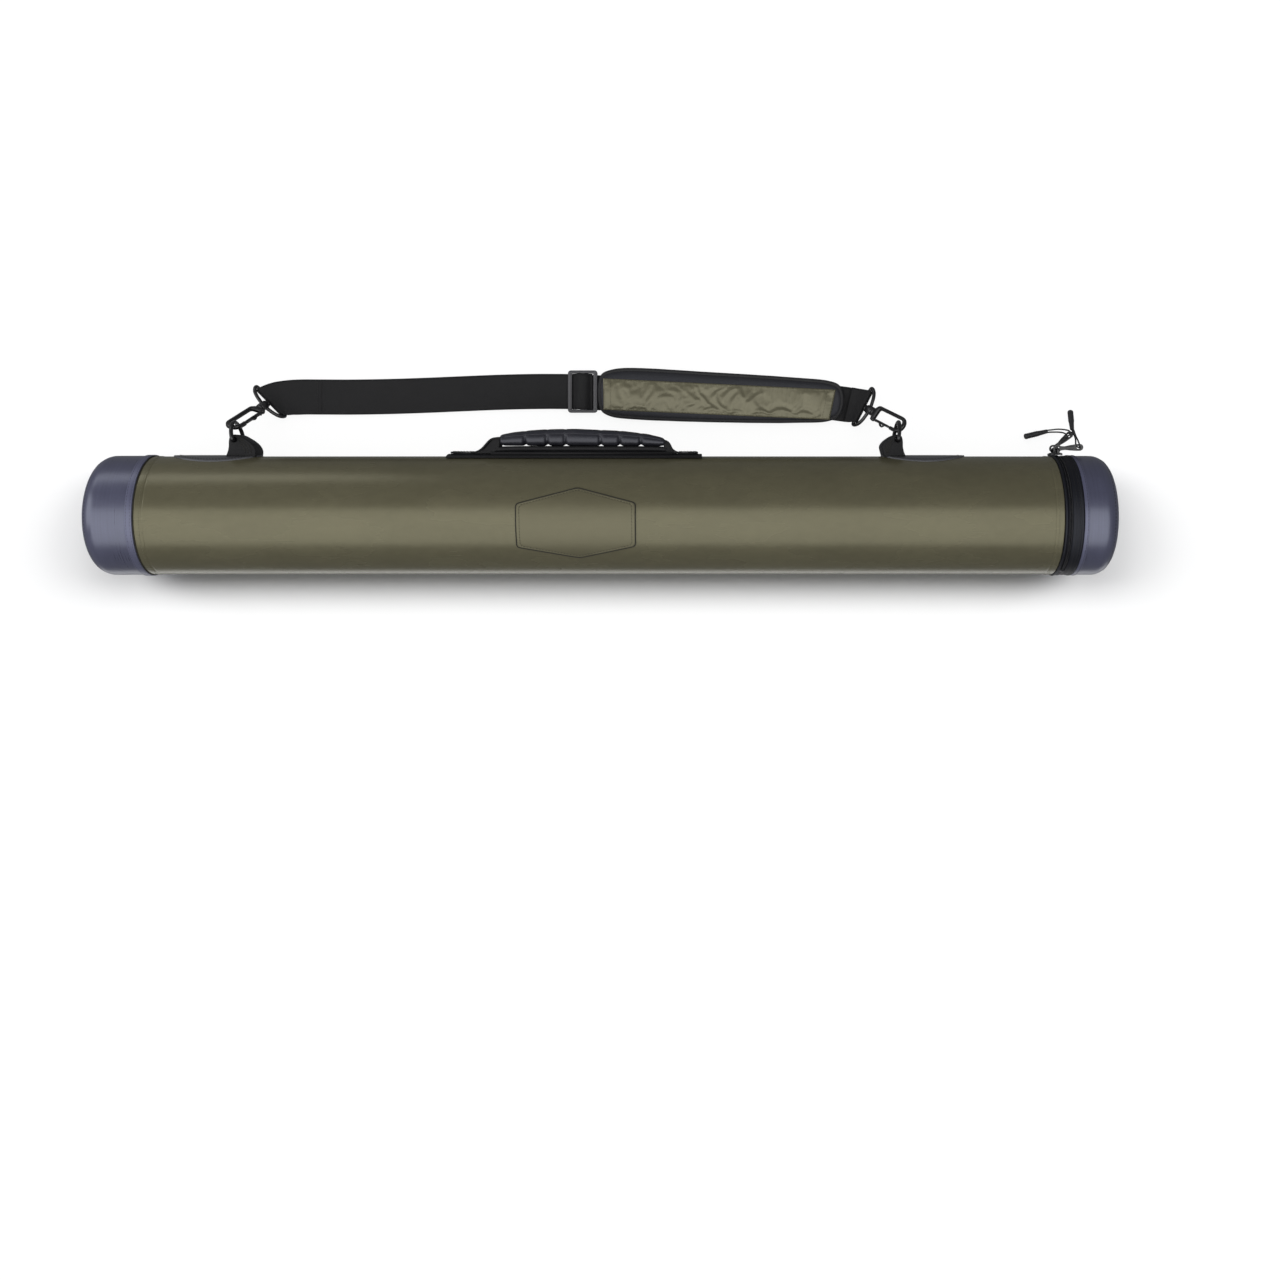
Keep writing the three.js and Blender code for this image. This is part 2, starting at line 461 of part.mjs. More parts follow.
// shoulder pad: foam body with a bound edge and an olive top panel
const padZ = [STRAP_Z + 1.25, STRAP_Z + 10.6];
const padOuter = [[-5, 106.5], [4, 101.8], [20, 99.4], [110, 95.8], [200, 95.2], [232, 97], [243, 102.5], [247, 112],
  [247.5, 124], [243, 134.5], [232, 139], [200, 142.2], [110, 148], [20, 152.5], [4, 150.6], [-5, 146.8], [-8.6, 140], [-8.6, 114]];
const padShape = outline(padOuter);
const shrink = (pts, d) => {
  const n = pts.length, out = [];
  for (let i = 0; i < n; i++) {
    const a = pts[(i + n - 1) % n], p = pts[i], b = pts[(i + 1) % n];
    const d0 = new THREE.Vector2(p[0] - a[0], p[1] - a[1]).normalize(), d1 = new THREE.Vector2(b[0] - p[0], b[1] - p[1]).normalize();
    const n0 = new THREE.Vector2(-d0.y, d0.x), n1 = new THREE.Vector2(-d1.y, d1.x);
    const m = n0.clone().add(n1).normalize();
    const w = d / m.dot(n0);
    out.push([p[0] + m.x * w, p[1] + m.y * w]);
  }
  return out;
};
add('pad_binding', cut(plate(padShape, padZ[0] + 1, padZ[1] - 1.6),
  plate(outline(shrink(padOuter, 4.2)), padZ[0] - 5, padZ[1] + 5)), 'black');
add('shoulder_pad', closed(plate(outline(shrink(padOuter, 4.5)), padZ[0], padZ[1])), 'foam');
add('pad_panel', closed(plate(outline([[-3.4, 108.6], [232.6, 98.2], [239.0, 129.6], [-4.0, 141.4]]), padZ[1] + 0.3, padZ[1] + 1.1)), 'olive');

export { eyeFrames, offsetY };
export default group;
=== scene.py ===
# Rod case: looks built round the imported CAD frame. Metres, same frame as the CAD.
# Lengths in this file are written in millimetres from the tube's axis, and P() and
# obj_from() turn them into the row frame.
import bpy
import json
import math
import numpy as np
from mathutils import Matrix, Vector

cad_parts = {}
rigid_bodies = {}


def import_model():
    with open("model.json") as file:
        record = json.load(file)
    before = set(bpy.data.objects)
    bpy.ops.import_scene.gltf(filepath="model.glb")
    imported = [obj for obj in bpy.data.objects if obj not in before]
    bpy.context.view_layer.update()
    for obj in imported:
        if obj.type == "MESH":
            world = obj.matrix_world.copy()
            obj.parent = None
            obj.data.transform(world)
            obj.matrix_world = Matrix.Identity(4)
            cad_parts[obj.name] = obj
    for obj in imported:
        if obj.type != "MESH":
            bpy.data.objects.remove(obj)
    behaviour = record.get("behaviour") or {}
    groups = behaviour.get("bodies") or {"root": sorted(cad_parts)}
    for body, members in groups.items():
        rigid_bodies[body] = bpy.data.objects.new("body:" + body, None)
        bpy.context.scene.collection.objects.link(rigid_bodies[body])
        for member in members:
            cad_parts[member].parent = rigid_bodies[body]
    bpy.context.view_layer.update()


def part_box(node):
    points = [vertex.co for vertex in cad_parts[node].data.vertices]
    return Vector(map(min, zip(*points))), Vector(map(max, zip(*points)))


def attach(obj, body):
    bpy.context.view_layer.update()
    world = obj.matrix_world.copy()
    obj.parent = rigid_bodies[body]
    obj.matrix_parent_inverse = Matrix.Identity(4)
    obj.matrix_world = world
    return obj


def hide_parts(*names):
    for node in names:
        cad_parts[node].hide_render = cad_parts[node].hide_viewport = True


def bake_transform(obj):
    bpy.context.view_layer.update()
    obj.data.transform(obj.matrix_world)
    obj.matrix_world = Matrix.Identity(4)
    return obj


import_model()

_lo, _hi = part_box("outer_sleeve")
AX_Y = (_lo[1] + _hi[1]) / 2          # tube axis, in metres
AX_Z = (_lo[2] + _hi[2]) / 2
MM = 0.001
PI = math.pi
scene = bpy.context.scene


def P(x, y, z):
    return Vector((x * MM, AX_Y + y * MM, AX_Z + z * MM))


def to_row(v):
    v = np.asarray(v, float).reshape(-1, 3) * MM
    return v + np.array([0.0, AX_Y, AX_Z])


# ------------------------------------------------------------------ camera
cam_data = bpy.data.cameras.new("camera")
cam_data.sensor_width = 36.0
cam_data.lens = 38.36
cam_data.shift_x = -0.0422
cam_data.shift_y = -0.1289
cam_data.clip_start = 0.05
cam_data.clip_end = 30
cam = bpy.data.objects.new("camera", cam_data)
cam.location = P(91.0, 40.5, 1374.0)
cam.rotation_euler = (0, 0, 0)
scene.collection.objects.link(cam)
scene.camera = cam
scene.view_settings.view_transform = "Standard"
scene.view_settings.look = "None"
scene.view_settings.exposure = 0.0
scene.view_settings.gamma = 1.0

# ------------------------------------------------------------ world, lights
world = bpy.data.worlds.new("studio")
scene.world = world
world.use_nodes = True
world.node_tree.nodes["Background"].inputs["Color"].default_value = (0.97, 0.98, 1.0, 1)
world.node_tree.nodes["Background"].inputs["Strength"].default_value = 0.20


def area_light(name, at, target, size_x, size_y, watts, colour=(1, 1, 1), glossy=True, diffuse=True):
    d = bpy.data.lights.new(name, "AREA")
    d.shape = "RECTANGLE"
    d.size, d.size_y = size_x, size_y
    d.energy = watts
    d.color = colour
    o = bpy.data.objects.new(name, d)
    o.location = at
    way = Vector(target) - Vector(at)
    o.rotation_euler = way.to_track_quat("-Z", "Y").to_euler()
    o.visible_glossy = glossy
    o.visible_diffuse = diffuse
    o.visible_camera = False
    scene.collection.objects.link(o)
    return o


key = area_light("softbox_top", (0.05, AX_Y - 0.30, 1.66), (0.05, AX_Y, AX_Z), 3.2, 1.5, 17.0, (1, 1, 1), False, True)
strip = area_light("softbox_sheen", (0.02, AX_Y - 0.52, 1.41), (0.02, AX_Y, AX_Z), 3.6, 2.05, 39.5, (1.0, 0.995, 0.97), True, False)
rim_low = area_light("rim_low", (0.05, AX_Y - 0.80, -0.95), (0.05, AX_Y, AX_Z), 2.8, 0.42, 4.2, (1, 1, 1), True, True)
side_fill = area_light("side_fill", (-1.7, AX_Y + 0.2, 0.9), (-0.2, AX_Y, AX_Z), 1.2, 1.0, 7.0)
edge_fill = area_light("edge_fill", (-0.95, AX_Y + 1.10, 0.32), (-0.34, AX_Y, AX_Z), 1.0, 0.35, 1.9)
suns = []
for tilt_x in (-44, -31, -18, 18, 31, 44):
    d = bpy.data.lights.new("floor_sun", "SUN")
    d.angle = math.radians(23)
    to = Vector((math.tan(math.radians(tilt_x)), math.tan(math.radians(19.5)), 1.0))
    d.energy = 2.95 / 6 * to.length
    o = bpy.data.objects.new("floor_sun", d)
    o.rotation_euler = to.to_track_quat("Z", "Y").to_euler()
    o.visible_glossy = False
    scene.collection.objects.link(o)
    suns.append(o)

# ------------------------------------------------------------------- floor
def _floor():
    s = 20.0
    me = bpy.data.meshes.new("floor")
    me.from_pydata([(-s, -s, 0), (s, -s, 0), (s, s, 0), (-s, s, 0)], [], [(0, 1, 2, 3)])
    o = bpy.data.objects.new("floor", me)
    scene.collection.objects.link(o)
    o.location.z = -0.0002
    m = bpy.data.materials.new("floor_paper")
    m.use_nodes = True
    b = m.node_tree.nodes["Principled BSDF"]
    b.inputs["Base Color"].default_value = (0.93, 0.93, 0.93, 1)
    b.inputs["Roughness"].default_value = 0.9
    b.inputs["Specular IOR Level"].default_value = 0.0
    me.materials.append(m)
    return o


floor = _floor()
only_floor = bpy.data.collections.new("floor_only")
only_floor.objects.link(floor)
for o in suns:                                  # the floor has its own light, so that it stays white round a soft shadow
    o.light_linking.receiver_collection = only_floor
not_floor = bpy.data.collections.new("not_floor")
not_floor.objects.link(floor)
not_floor.collection_objects[0].light_linking.link_state = "EXCLUDE"
for o in (key, strip, rim_low, side_fill, edge_fill):
    o.light_linking.receiver_collection = not_floor
floor.visible_glossy = False
floor.visible_diffuse = False
floor.visible_shadow = False                    # the low rim light reaches the underside as a lightbox would


# ---------------------------------------------------------------- node kit
class Mat:
    """A Principled material with small helpers for procedural detail."""

    def __init__(self, name, colour, rough=0.6, spec=0.5, metal=0.0, spec_tint=None, coat=0.0, coat_rough=0.2, sheen=0.0, sheen_tint=None, sheen_rough=0.5):
        self.m = bpy.data.materials.new(name)
        self.m.use_nodes = True
        self.nt = self.m.node_tree
        self.b = self.nt.nodes["Principled BSDF"]
        self.b.inputs["Base Color"].default_value = (*colour, 1)
        self.b.inputs["Roughness"].default_value = rough
        self.b.inputs["Specular IOR Level"].default_value = spec
        self.b.inputs["Metallic"].default_value = metal
        if spec_tint:
            self.b.inputs["Specular Tint"].default_value = (*spec_tint, 1)
        if coat:
            self.b.inputs["Coat Weight"].default_value = coat
            self.b.inputs["Coat Roughness"].default_value = coat_rough
        if sheen:
            self.b.inputs["Sheen Weight"].default_value = sheen
            self.b.inputs["Sheen Roughness"].default_value = sheen_rough
            if sheen_tint:
                self.b.inputs["Sheen Tint"].default_value = (*sheen_tint, 1)
        self.colour = colour

    def node(self, kind, **inputs):
        n = self.nt.nodes.new(kind)
        for k, v in inputs.items():
            n.inputs[k].default_value = v
        return n

    def link(self, a, b):
        self.nt.links.new(a, b)

    def math(self, op, a, b=None, c=None):
        n = self.nt.nodes.new("ShaderNodeMath")
        n.operation = op
        for i, v in enumerate((a, b, c)):
            if v is None:
                continue
            if isinstance(v, (int, float)):
                n.inputs[i].default_value = v
            else:
                self.link(v, n.inputs[i])
        return n.outputs[0]

    def coords(self, uv=True):
        if uv:
            n = self.nt.nodes.new("ShaderNodeUVMap")
            n.uv_map = "weave"
            return n.outputs[0]
        return self.nt.nodes.new("ShaderNodeTexCoord").outputs["Object"]

    def split(self, vec):
        n = self.nt.nodes.new("ShaderNodeSeparateXYZ")
        self.link(vec, n.inputs[0])
        return n.outputs[0], n.outputs[1], n.outputs[2]

    def scaled(self, vec, scale):
        n = self.nt.nodes.new("ShaderNodeMapping")
        n.inputs["Scale"].default_value = scale
        self.link(vec, n.inputs["Vector"])
        return n.outputs[0]

    def noise(self, vec, scale, detail=3.0, rough=0.55):
        n = self.node("ShaderNodeTexNoise", Scale=scale, Detail=detail, Roughness=rough)
        self.link(vec, n.inputs["Vector"])
        return n.outputs["Fac"]

    def cells(self, vec, scale, feature="F1"):
        n = self.node("ShaderNodeTexVoronoi", Scale=scale)
        n.feature = feature
        self.link(vec, n.inputs["Vector"])
        return n.outputs["Distance"]

    def ramp(self, fac, stops):
        n = self.nt.nodes.new("ShaderNodeValToRGB")
        e = n.color_ramp.elements
        while len(e) > 1:
            e.remove(e[-1])
        e[0].position = stops[0][0]
        e[0].color = (*stops[0][1], 1) if hasattr(stops[0][1], "__len__") else (stops[0][1],) * 3 + (1,)
        for pos, c in stops[1:]:
            x = e.new(pos)
            x.color = (*c, 1) if hasattr(c, "__len__") else (c, c, c, 1)
        self.link(fac, n.inputs[0])
        return n.outputs[0]

    def bump(self, height, strength, distance, normal=None):
        n = self.node("ShaderNodeBump", Strength=strength, Distance=distance)
        self.link(height, n.inputs["Height"])
        if normal is not None:
            self.link(normal, n.inputs["Normal"])
        return n.outputs[0]

    def finish(self, colour=None, rough=None, normal=None):
        if colour is not None:
            self.link(colour, self.b.inputs["Base Color"])
        if rough is not None:
            self.link(rough, self.b.inputs["Roughness"])
        if normal is not None:
            self.link(normal, self.b.inputs["Normal"])
        return self.m


def mul(c, k):
    return tuple(min(1.0, x * k) for x in c)


def woven(name, colour, pitch_u, pitch_v, rough, spec, spec_tint=None, contrast=0.35, depth=0.00008, strength=0.35, streak=0.1, blotch=0.12, twill=False, sheen=0.0, sheen_tint=None, uv=True, vertical_streak=False):
    """Threads over and under at the given pitch in millimetres, with uneven dye and streaks along the yarn."""
    m = Mat(name, colour, rough, spec, spec_tint=spec_tint, sheen=sheen, sheen_tint=sheen_tint)
    vec = m.coords(uv)
    u, v, _ = m.split(vec)
    ku, kv = 2 * PI / (pitch_u * MM), 2 * PI / (pitch_v * MM)
    if twill:
        a = m.math("SINE", m.math("MULTIPLY_ADD", u, ku, m.math("MULTIPLY", v, kv)))
        b = m.math("SINE", m.math("MULTIPLY", v, 2 * kv))
        h = m.math("MULTIPLY_ADD", m.math("MULTIPLY_ADD", b, 0.35, a), 0.36, 0.5)
    else:
        a = m.math("SINE", m.math("MULTIPLY", u, ku))
        b = m.math("SINE", m.math("MULTIPLY", v, kv))
        h = m.math("MULTIPLY_ADD", m.math("MULTIPLY", a, b), 0.5, 0.5)
    grain = m.noise(vec, 900, 2.0)
    big = m.noise(m.scaled(vec, (0.4, 1, 1)), 30, 3.0, 0.5)
    stretched = (1.5, 70, 1) if not vertical_streak else (70, 1.5, 1)
    lines = m.noise(m.scaled(vec, stretched), 9, 3.0, 0.7)
    tone = m.math("MULTIPLY_ADD", h, contrast, 1.0 - contrast / 2)
    tone = m.math("ADD", tone, m.math("MULTIPLY_ADD", grain, 0.10, -0.05))
    mid = m.noise(m.scaled(vec, (0.7, 1, 1)), 120, 2.0, 0.5)
    tone = m.math("ADD", tone, m.math("MULTIPLY_ADD", mid, 1.3 * blotch, -0.65 * blotch))
    tone = m.math("ADD", tone, m.math("MULTIPLY_ADD", big, 2 * blotch, -blotch))
    tone = m.math("ADD", tone, m.math("MULTIPLY_ADD", lines, 2 * streak, -streak))
    tone = m.math("MULTIPLY", tone, 0.5)
    col = m.ramp(tone, [(0.12, mul(colour, 0.35)), (0.5, colour), (0.88, mul(colour, 1.7))])
    rg = m.math("ADD", m.math("MULTIPLY_ADD", lines, 0.8 * streak, rough - 0.4 * streak), m.math("MULTIPLY_ADD", big, 0.10, -0.05))
    nrm = m.bump(m.math("ADD", h, m.math("MULTIPLY", grain, 0.5)), strength, depth)
    return m.finish(col, rg, nrm)


def srgb(r, g, b):
    f = lambda c: ((c / 255 + 0.055) / 1.055) ** 2.4 if c > 10.3 else c / 255 / 12.92
    return (f(r), f(g), f(b))


OLIVE = (0.128, 0.118, 0.073)
SLATE = (0.079, 0.081, 0.134)
M = {}
M["olive"] = woven("olive_fabric", OLIVE, 0.9, 0.7, 0.27, 0.65, (1.0, 0.97, 0.70), 0.24, 0.00004, 0.20, 0.010, 0.19)
M["olive_badge"] = woven("olive_badge", mul(OLIVE, 1.0), 0.9, 0.7, 0.36, 0.6, (1.0, 0.97, 0.72), 0.26, 0.00006, 0.3, 0.06, 0.10)
M["olive_satin"] = woven("olive_satin", (0.150, 0.140, 0.092), 0.6, 0.45, 0.34, 0.75, (1.0, 0.97, 0.75), 0.15, 0.00004, 0.25, 0.05, 0.06, uv=True)
M["olive_thread"] = woven("olive_thread", mul(OLIVE, 1.2), 0.5, 0.5, 0.5, 0.4, None, 0.4, 0.0001, 0.5, 0.02, 0.1, uv=False)
M["seam_dark"] = woven("seam_dark", (0.030, 0.029, 0.024), 0.6, 0.6, 0.7, 0.2, None, 0.4, 0.0001, 0.4, 0.02, 0.1, uv=False)
M["black_thread"] = woven("black_thread", (0.022, 0.022, 0.024), 0.5, 0.5, 0.6, 0.4, None, 0.4, 0.0001, 0.5, 0.02, 0.1, uv=False)


def slate(name, colour, rough, spec):
    """Coated fabric with a fine pebble grain and brushed streaks round the tube."""
    m = Mat(name, colour, rough, spec, spec_tint=(0.80, 0.85, 1.0), coat=0.06, coat_rough=0.35)
    vec = m.coords(True)
    u, v, _ = m.split(vec)
    pebble = m.cells(vec, 1500)
    fine = m.noise(vec, 1400, 3.0)
    weave = m.math("MULTIPLY", m.math("SINE", m.math("MULTIPLY", u, 2 * PI / 0.00085)), m.math("SINE", m.math("MULTIPLY", v, 2 * PI / 0.00085)))
    brushed = m.noise(m.scaled(vec, (70, 1.6, 1)), 8, 4.0, 0.7)
    across = m.noise(m.scaled(vec, (1.6, 60, 1)), 8, 3.0, 0.6)
    cloud = m.noise(vec, 26, 3.0)
    tone = m.math("MULTIPLY_ADD", brushed, 0.34, 0.33)
    tone = m.math("ADD", tone, m.math("MULTIPLY_ADD", across, 0.12, -0.06))
    tone = m.math("ADD", tone, m.math("MULTIPLY_ADD", fine, 0.26, -0.13))
    tone = m.math("ADD", tone, m.math("MULTIPLY_ADD", cloud, 0.3, -0.15))
    tone = m.math("ADD", tone, m.math("MULTIPLY", weave, 0.035))
    col = m.ramp(tone, [(0.15, mul(colour, 0.5)), (0.5, colour), (0.85, mul(colour, 1.6))])
    rg = m.math("ADD", m.math("MULTIPLY_ADD", brushed, 0.12, rough - 0.06), m.math("MULTIPLY_ADD", cloud, 0.10, -0.05))
    h = m.math("ADD", m.math("MULTIPLY", pebble, 0.7), m.math("ADD", m.math("MULTIPLY", fine, 0.6), m.math("MULTIPLY", weave, 0.2)))
    return m.finish(col, rg, m.bump(h, 0.35, 0.00006))


M["slate"] = slate("slate_fabric", SLATE, 0.30, 1.0)
# the hems' slate is 1.35 times lighter than the caps' slate: a painted highlight on the raised hems
M["slate_hem_highlight"] = slate("slate_hem_highlight", mul(SLATE, 1.35), 0.36, 0.85)
M["patch"] = slate("patch_fabric", (0.091, 0.090, 0.094), 0.42, 0.6)


def webbing(name, colour, pitch_along, pitch_across, rough=0.62, spec=0.35, strength=0.6, depth=0.00018):
    """Nylon webbing: rows of plump picks along the strap, offset row by row."""
    m = Mat(name, colour, rough, spec, sheen=0.04, sheen_tint=(0.7, 0.72, 0.8))
    vec = m.coords(True)
    u, v, _ = m.split(vec)
    row = m.math("FLOOR", m.math("DIVIDE", v, pitch_across * MM))
    shift = m.math("MULTIPLY", m.math("MODULO", row, 2.0), 0.5)
    along = m.math("ADD", m.math("DIVIDE", u, pitch_along * MM), shift)
    pick = m.math("ABSOLUTE", m.math("SINE", m.math("MULTIPLY", along, PI)))
    rib = m.math("ABSOLUTE", m.math("SINE", m.math("DIVIDE", v, pitch_across * MM / PI)))
    h = m.math("POWER", m.math("MULTIPLY", pick, rib), 0.6)
    fuzz = m.noise(vec, 1500, 2.0)
    cloud = m.noise(vec, 30, 3.0)
    tone = m.math("MULTIPLY_ADD", h, 0.5, 0.1)
    tone = m.math("ADD", tone, m.math("MULTIPLY_ADD", fuzz, 0.3, -0.15))
    tone = m.math("ADD", tone, m.math("MULTIPLY_ADD", cloud, 0.3, -0.1))
    col = m.ramp(tone, [(0.05, mul(colour, 0.4)), (0.5, colour), (0.95, mul(colour, 1.8))])
    return m.finish(col, m.math("MULTIPLY_ADD", fuzz, 0.2, rough - 0.1), m.bump(m.math("ADD", h, m.math("MULTIPLY", fuzz, 0.3)), strength, depth))


M["webbing"] = webbing("black_webbing", (0.0085, 0.0085, 0.0098), 1.9, 1.25, 0.60, 0.24)
M["webbing_fine"] = webbing("binding_tape", (0.016, 0.016, 0.018), 1.2, 0.9, 0.6, 0.32, 0.5, 0.00012)
M["tape"] = woven("black_tape", (0.0072, 0.0075, 0.0112), 1.0, 0.8, 0.48, 0.30, (0.85, 0.9, 1.0), 0.5, 0.00010, 0.45, 0.12, 0.1, twill=True)
M["hinge"] = woven("hinge_tape", (0.020, 0.020, 0.024), 1.0, 0.8, 0.55, 0.4, None, 0.5, 0.0001, 0.4, 0.1, 0.1, twill=True)


def gloss(name, colour, rough, spec=0.5, metal=0.0, grain=600, strength=0.12, depth=0.00005, coat=0.0, edge_highlight=0.06, spec_tint=None):
    m = Mat(name, colour, rough, spec, metal, spec_tint, coat, 0.15)
    vec = m.coords(False)
    fine = m.noise(vec, grain, 3.0)
    wide = m.noise(vec, 60, 4.0, 0.6)
    # sharp convex edges, found by pointiness, are painted lighter: a painted highlight along the edges; the last
    # argument raises the lightest stop of this highlight further
    geo = m.nt.nodes.new("ShaderNodeNewGeometry").outputs["Pointiness"]
    edge = m.ramp(geo, [(0.50, 0.0), (0.56, 1.0)])
    tone = m.math("ADD", m.math("MULTIPLY_ADD", wide, 0.5, 0.1), m.math("MULTIPLY", fine, 0.3))
    tone = m.math("ADD", tone, m.math("MULTIPLY", edge, 0.3))
    col = m.ramp(tone, [(0.2, mul(colour, 0.7)), (0.5, colour), (1.0, tuple(min(1, c * 1.5 + edge_highlight * 0.3) for c in colour))])
    rg = m.math("MULTIPLY_ADD", wide, 0.22, rough - 0.11)
    return m.finish(col, rg, m.bump(fine, strength, depth))


M["metal"] = gloss("black_metal", (0.014, 0.014, 0.016), 0.30, 0.5, 0.35, 400, 0.08, 0.00003, 0.35, 0.05)
M["plastic"] = gloss("black_plastic", (0.053, 0.052, 0.059), 0.36, 0.5, 0.0, 2200, 0.25, 0.00004, 0.0, 0.08)
M["grip"] = gloss("grip_rubber", (0.020, 0.020, 0.027), 0.42, 0.55, 0.0, 2600, 0.35, 0.00006, 0.0, 0.05, (0.9, 0.92, 1.0))
M["pull_rubber"] = gloss("pull_rubber", (0.028, 0.028, 0.031), 0.5, 0.4, 0.0, 2600, 0.35, 0.00005, 0.0, 0.05)
M["coil"] = gloss("zip_coil", (0.010, 0.0105, 0.014), 0.30, 0.45, 0.0, 1500, 0.1, 0.00003, 0.0, 0.1)
M["pipe"] = gloss("pipe_plastic", (0.42, 0.42, 0.40), 0.4, 0.5, 0.0, 900, 0.12, 0.00005, 0.0, 0.05)
M["lining"] = woven("lining_cloth", (0.050, 0.051, 0.058), 0.8, 0.8, 0.7, 0.3, None, 0.4, 0.0001, 0.4, 0.05, 0.1)


def foam(name, colour, scale=900):
    m = Mat(name, colour, 0.92, 0.15)
    vec = m.coords(False)
    c = m.cells(vec, scale)
    n = m.noise(vec, 40, 3.0)
    tone = m.math("ADD", m.math("MULTIPLY", c, 0.9), m.math("MULTIPLY_ADD", n, 0.4, -0.05))
    col = m.ramp(tone, [(0.1, mul(colour, 0.55)), (0.5, colour), (0.95, mul(colour, 1.25))])
    return m.finish(col, None, m.bump(c, 0.6, 0.0003))


M["foam"] = foam("foam", (0.26, 0.265, 0.28))
M["foam_black"] = foam("foam_black", (0.03, 0.03, 0.034), 700)


def mesh_fabric(name, colour):
    """Knitted spacer mesh: rows of small round holes."""
    m = Mat(name, colour, 0.75, 0.25, sheen=0.2, sheen_tint=(0.6, 0.6, 0.7))
    vec = m.coords(True)
    u, v, _ = m.split(vec)
    row = m.math("FLOOR", m.math("DIVIDE", v, 1.7 * MM))
    fu = m.math("FRACT", m.math("ADD", m.math("DIVIDE", u, 2.0 * MM), m.math("MULTIPLY", m.math("MODULO", row, 2.0), 0.5)))
    fv = m.math("FRACT", m.math("DIVIDE", v, 1.7 * MM))
    du, dv = m.math("SUBTRACT", fu, 0.5), m.math("SUBTRACT", fv, 0.5)
    d = m.math("SQRT", m.math("ADD", m.math("MULTIPLY", du, du), m.math("MULTIPLY", dv, dv)))
    h = m.ramp(d, [(0.16, 0.0), (0.34, 1.0)])
    fuzz = m.noise(vec, 1300, 2.0)
    tone = m.math("MULTIPLY_ADD", m.math("MULTIPLY", h, 1.0), 0.5, m.math("MULTIPLY", fuzz, 0.35))
    col = m.ramp(tone, [(0.1, mul(colour, 0.3)), (0.6, colour), (1.0, mul(colour, 1.7))])
    return m.finish(col, None, m.bump(m.math("ADD", h, m.math("MULTIPLY", fuzz, 0.3)), 0.6, 0.0003))


M["spacer"] = mesh_fabric("spacer_mesh", (0.026, 0.026, 0.029))
M["pad_black"] = woven("pad_black", (0.021, 0.021, 0.024), 0.9, 0.7, 0.55, 0.34, (0.85, 0.88, 1.0), 0.4, 0.0001, 0.4, 0.05, 0.12)


def braided(name, colour):
    m = Mat(name, colour, 0.55, 0.4)
    vec = m.coords(True)
    u, v, _ = m.split(vec)
    a = m.math("SINE", m.math("MULTIPLY_ADD", u, 2 * PI / 0.0014, m.math("MULTIPLY", v, 2 * PI / 0.0013)))
    b = m.math("SINE", m.math("SUBTRACT", m.math("MULTIPLY", u, 2 * PI / 0.0014), m.math("MULTIPLY", v, 2 * PI / 0.0013)))
    h = m.math("MULTIPLY_ADD", m.math("MAXIMUM", a, b), 0.5, 0.5)
    col = m.ramp(h, [(0.1, mul(colour, 0.4)), (0.6, colour), (1.0, mul(colour, 1.6))])
    return m.finish(col, None, m.bump(h, 0.6, 0.0002))


M["cord"] = braided("pull_cord", (0.022, 0.022, 0.025))


# ------------------------------------------------------------ mesh building
def obj_from(name, verts, faces, mat, uv=None, smooth=True, mats=None, matidx=None):
    """Mesh object from millimetres round the tube axis. uv is one pair per face corner, in metres."""
    me = bpy.data.meshes.new(name)
    me.from_pydata(to_row(verts).tolist(), [], [tuple(int(i) for i in f) for f in faces])
    me.validate()
    if uv is not None:
        layer = me.uv_layers.new(name="weave")
        flat = np.asarray(uv, np.float32).reshape(-1)
        if len(layer.data) * 2 == len(flat):
            layer.data.foreach_set("uv", flat)
    else:
        me.uv_layers.new(name="weave")
    for k in (mats or [mat]):
        me.materials.append(M[k])
    if matidx is not None:
        me.polygons.foreach_set("material_index", np.asarray(matidx, np.int32))
    me.polygons.foreach_set("use_smooth", np.full(len(me.polygons), smooth))
    me.update()
    o = bpy.data.objects.new(name, me)
    scene.collection.objects.link(o)
    return o


def place(o, body, nodes=()):
    if body:
        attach(o, body)
    if nodes:
        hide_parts(*nodes)
    return o


class Soup:
    """Collects several shapes into one mesh."""

    def __init__(self):
        self.v, self.f, self.uv, self.mi, self.n = [], [], [], [], 0

    def add(self, verts, faces, uv=None, mi=0):
        verts = np.asarray(verts, float).reshape(-1, 3)
        self.v.append(verts)
        for f in faces:
            self.f.append(tuple(int(i) + self.n for i in f))
            self.mi.append(mi)
        if uv is None:
            uv = np.zeros((sum(len(f) for f in faces), 2))
        self.uv.append(np.asarray(uv, float).reshape(-1, 2))
        self.n += len(verts)
        return self

    def make(self, name, mat, mats=None, smooth=True):
        return obj_from(name, np.concatenate(self.v), self.f, mat, np.concatenate(self.uv), smooth, mats, self.mi)


def grid(pos, close_i=False, close_j=False, uv=None, flip=False):
    """pos is (n, m, 3). Quads between neighbours; uv is (n+1, m+1, 2) or (n, m, 2) where open."""
    pos = np.asarray(pos, float)
    n, m = pos.shape[:2]
    ni, mj = (n if close_i else n - 1), (m if close_j else m - 1)
    faces, uvs = [], []
    for i in range(ni):
        a, b = i * m, ((i + 1) % n) * m
        for j in range(mj):
            k = (j + 1) % m
            q = (a + j, b + j, b + k, a + k)
            t = ((i, j), (i + 1, j), (i + 1, j + 1), (i, j + 1))
            if flip:
                q, t = q[::-1], t[::-1]
            faces.append(q)
            if uv is not None:
                uvs.extend(uv[x][y] for x, y in t)
    return pos.reshape(-1, 3), faces, (uvs if uv is not None else None)


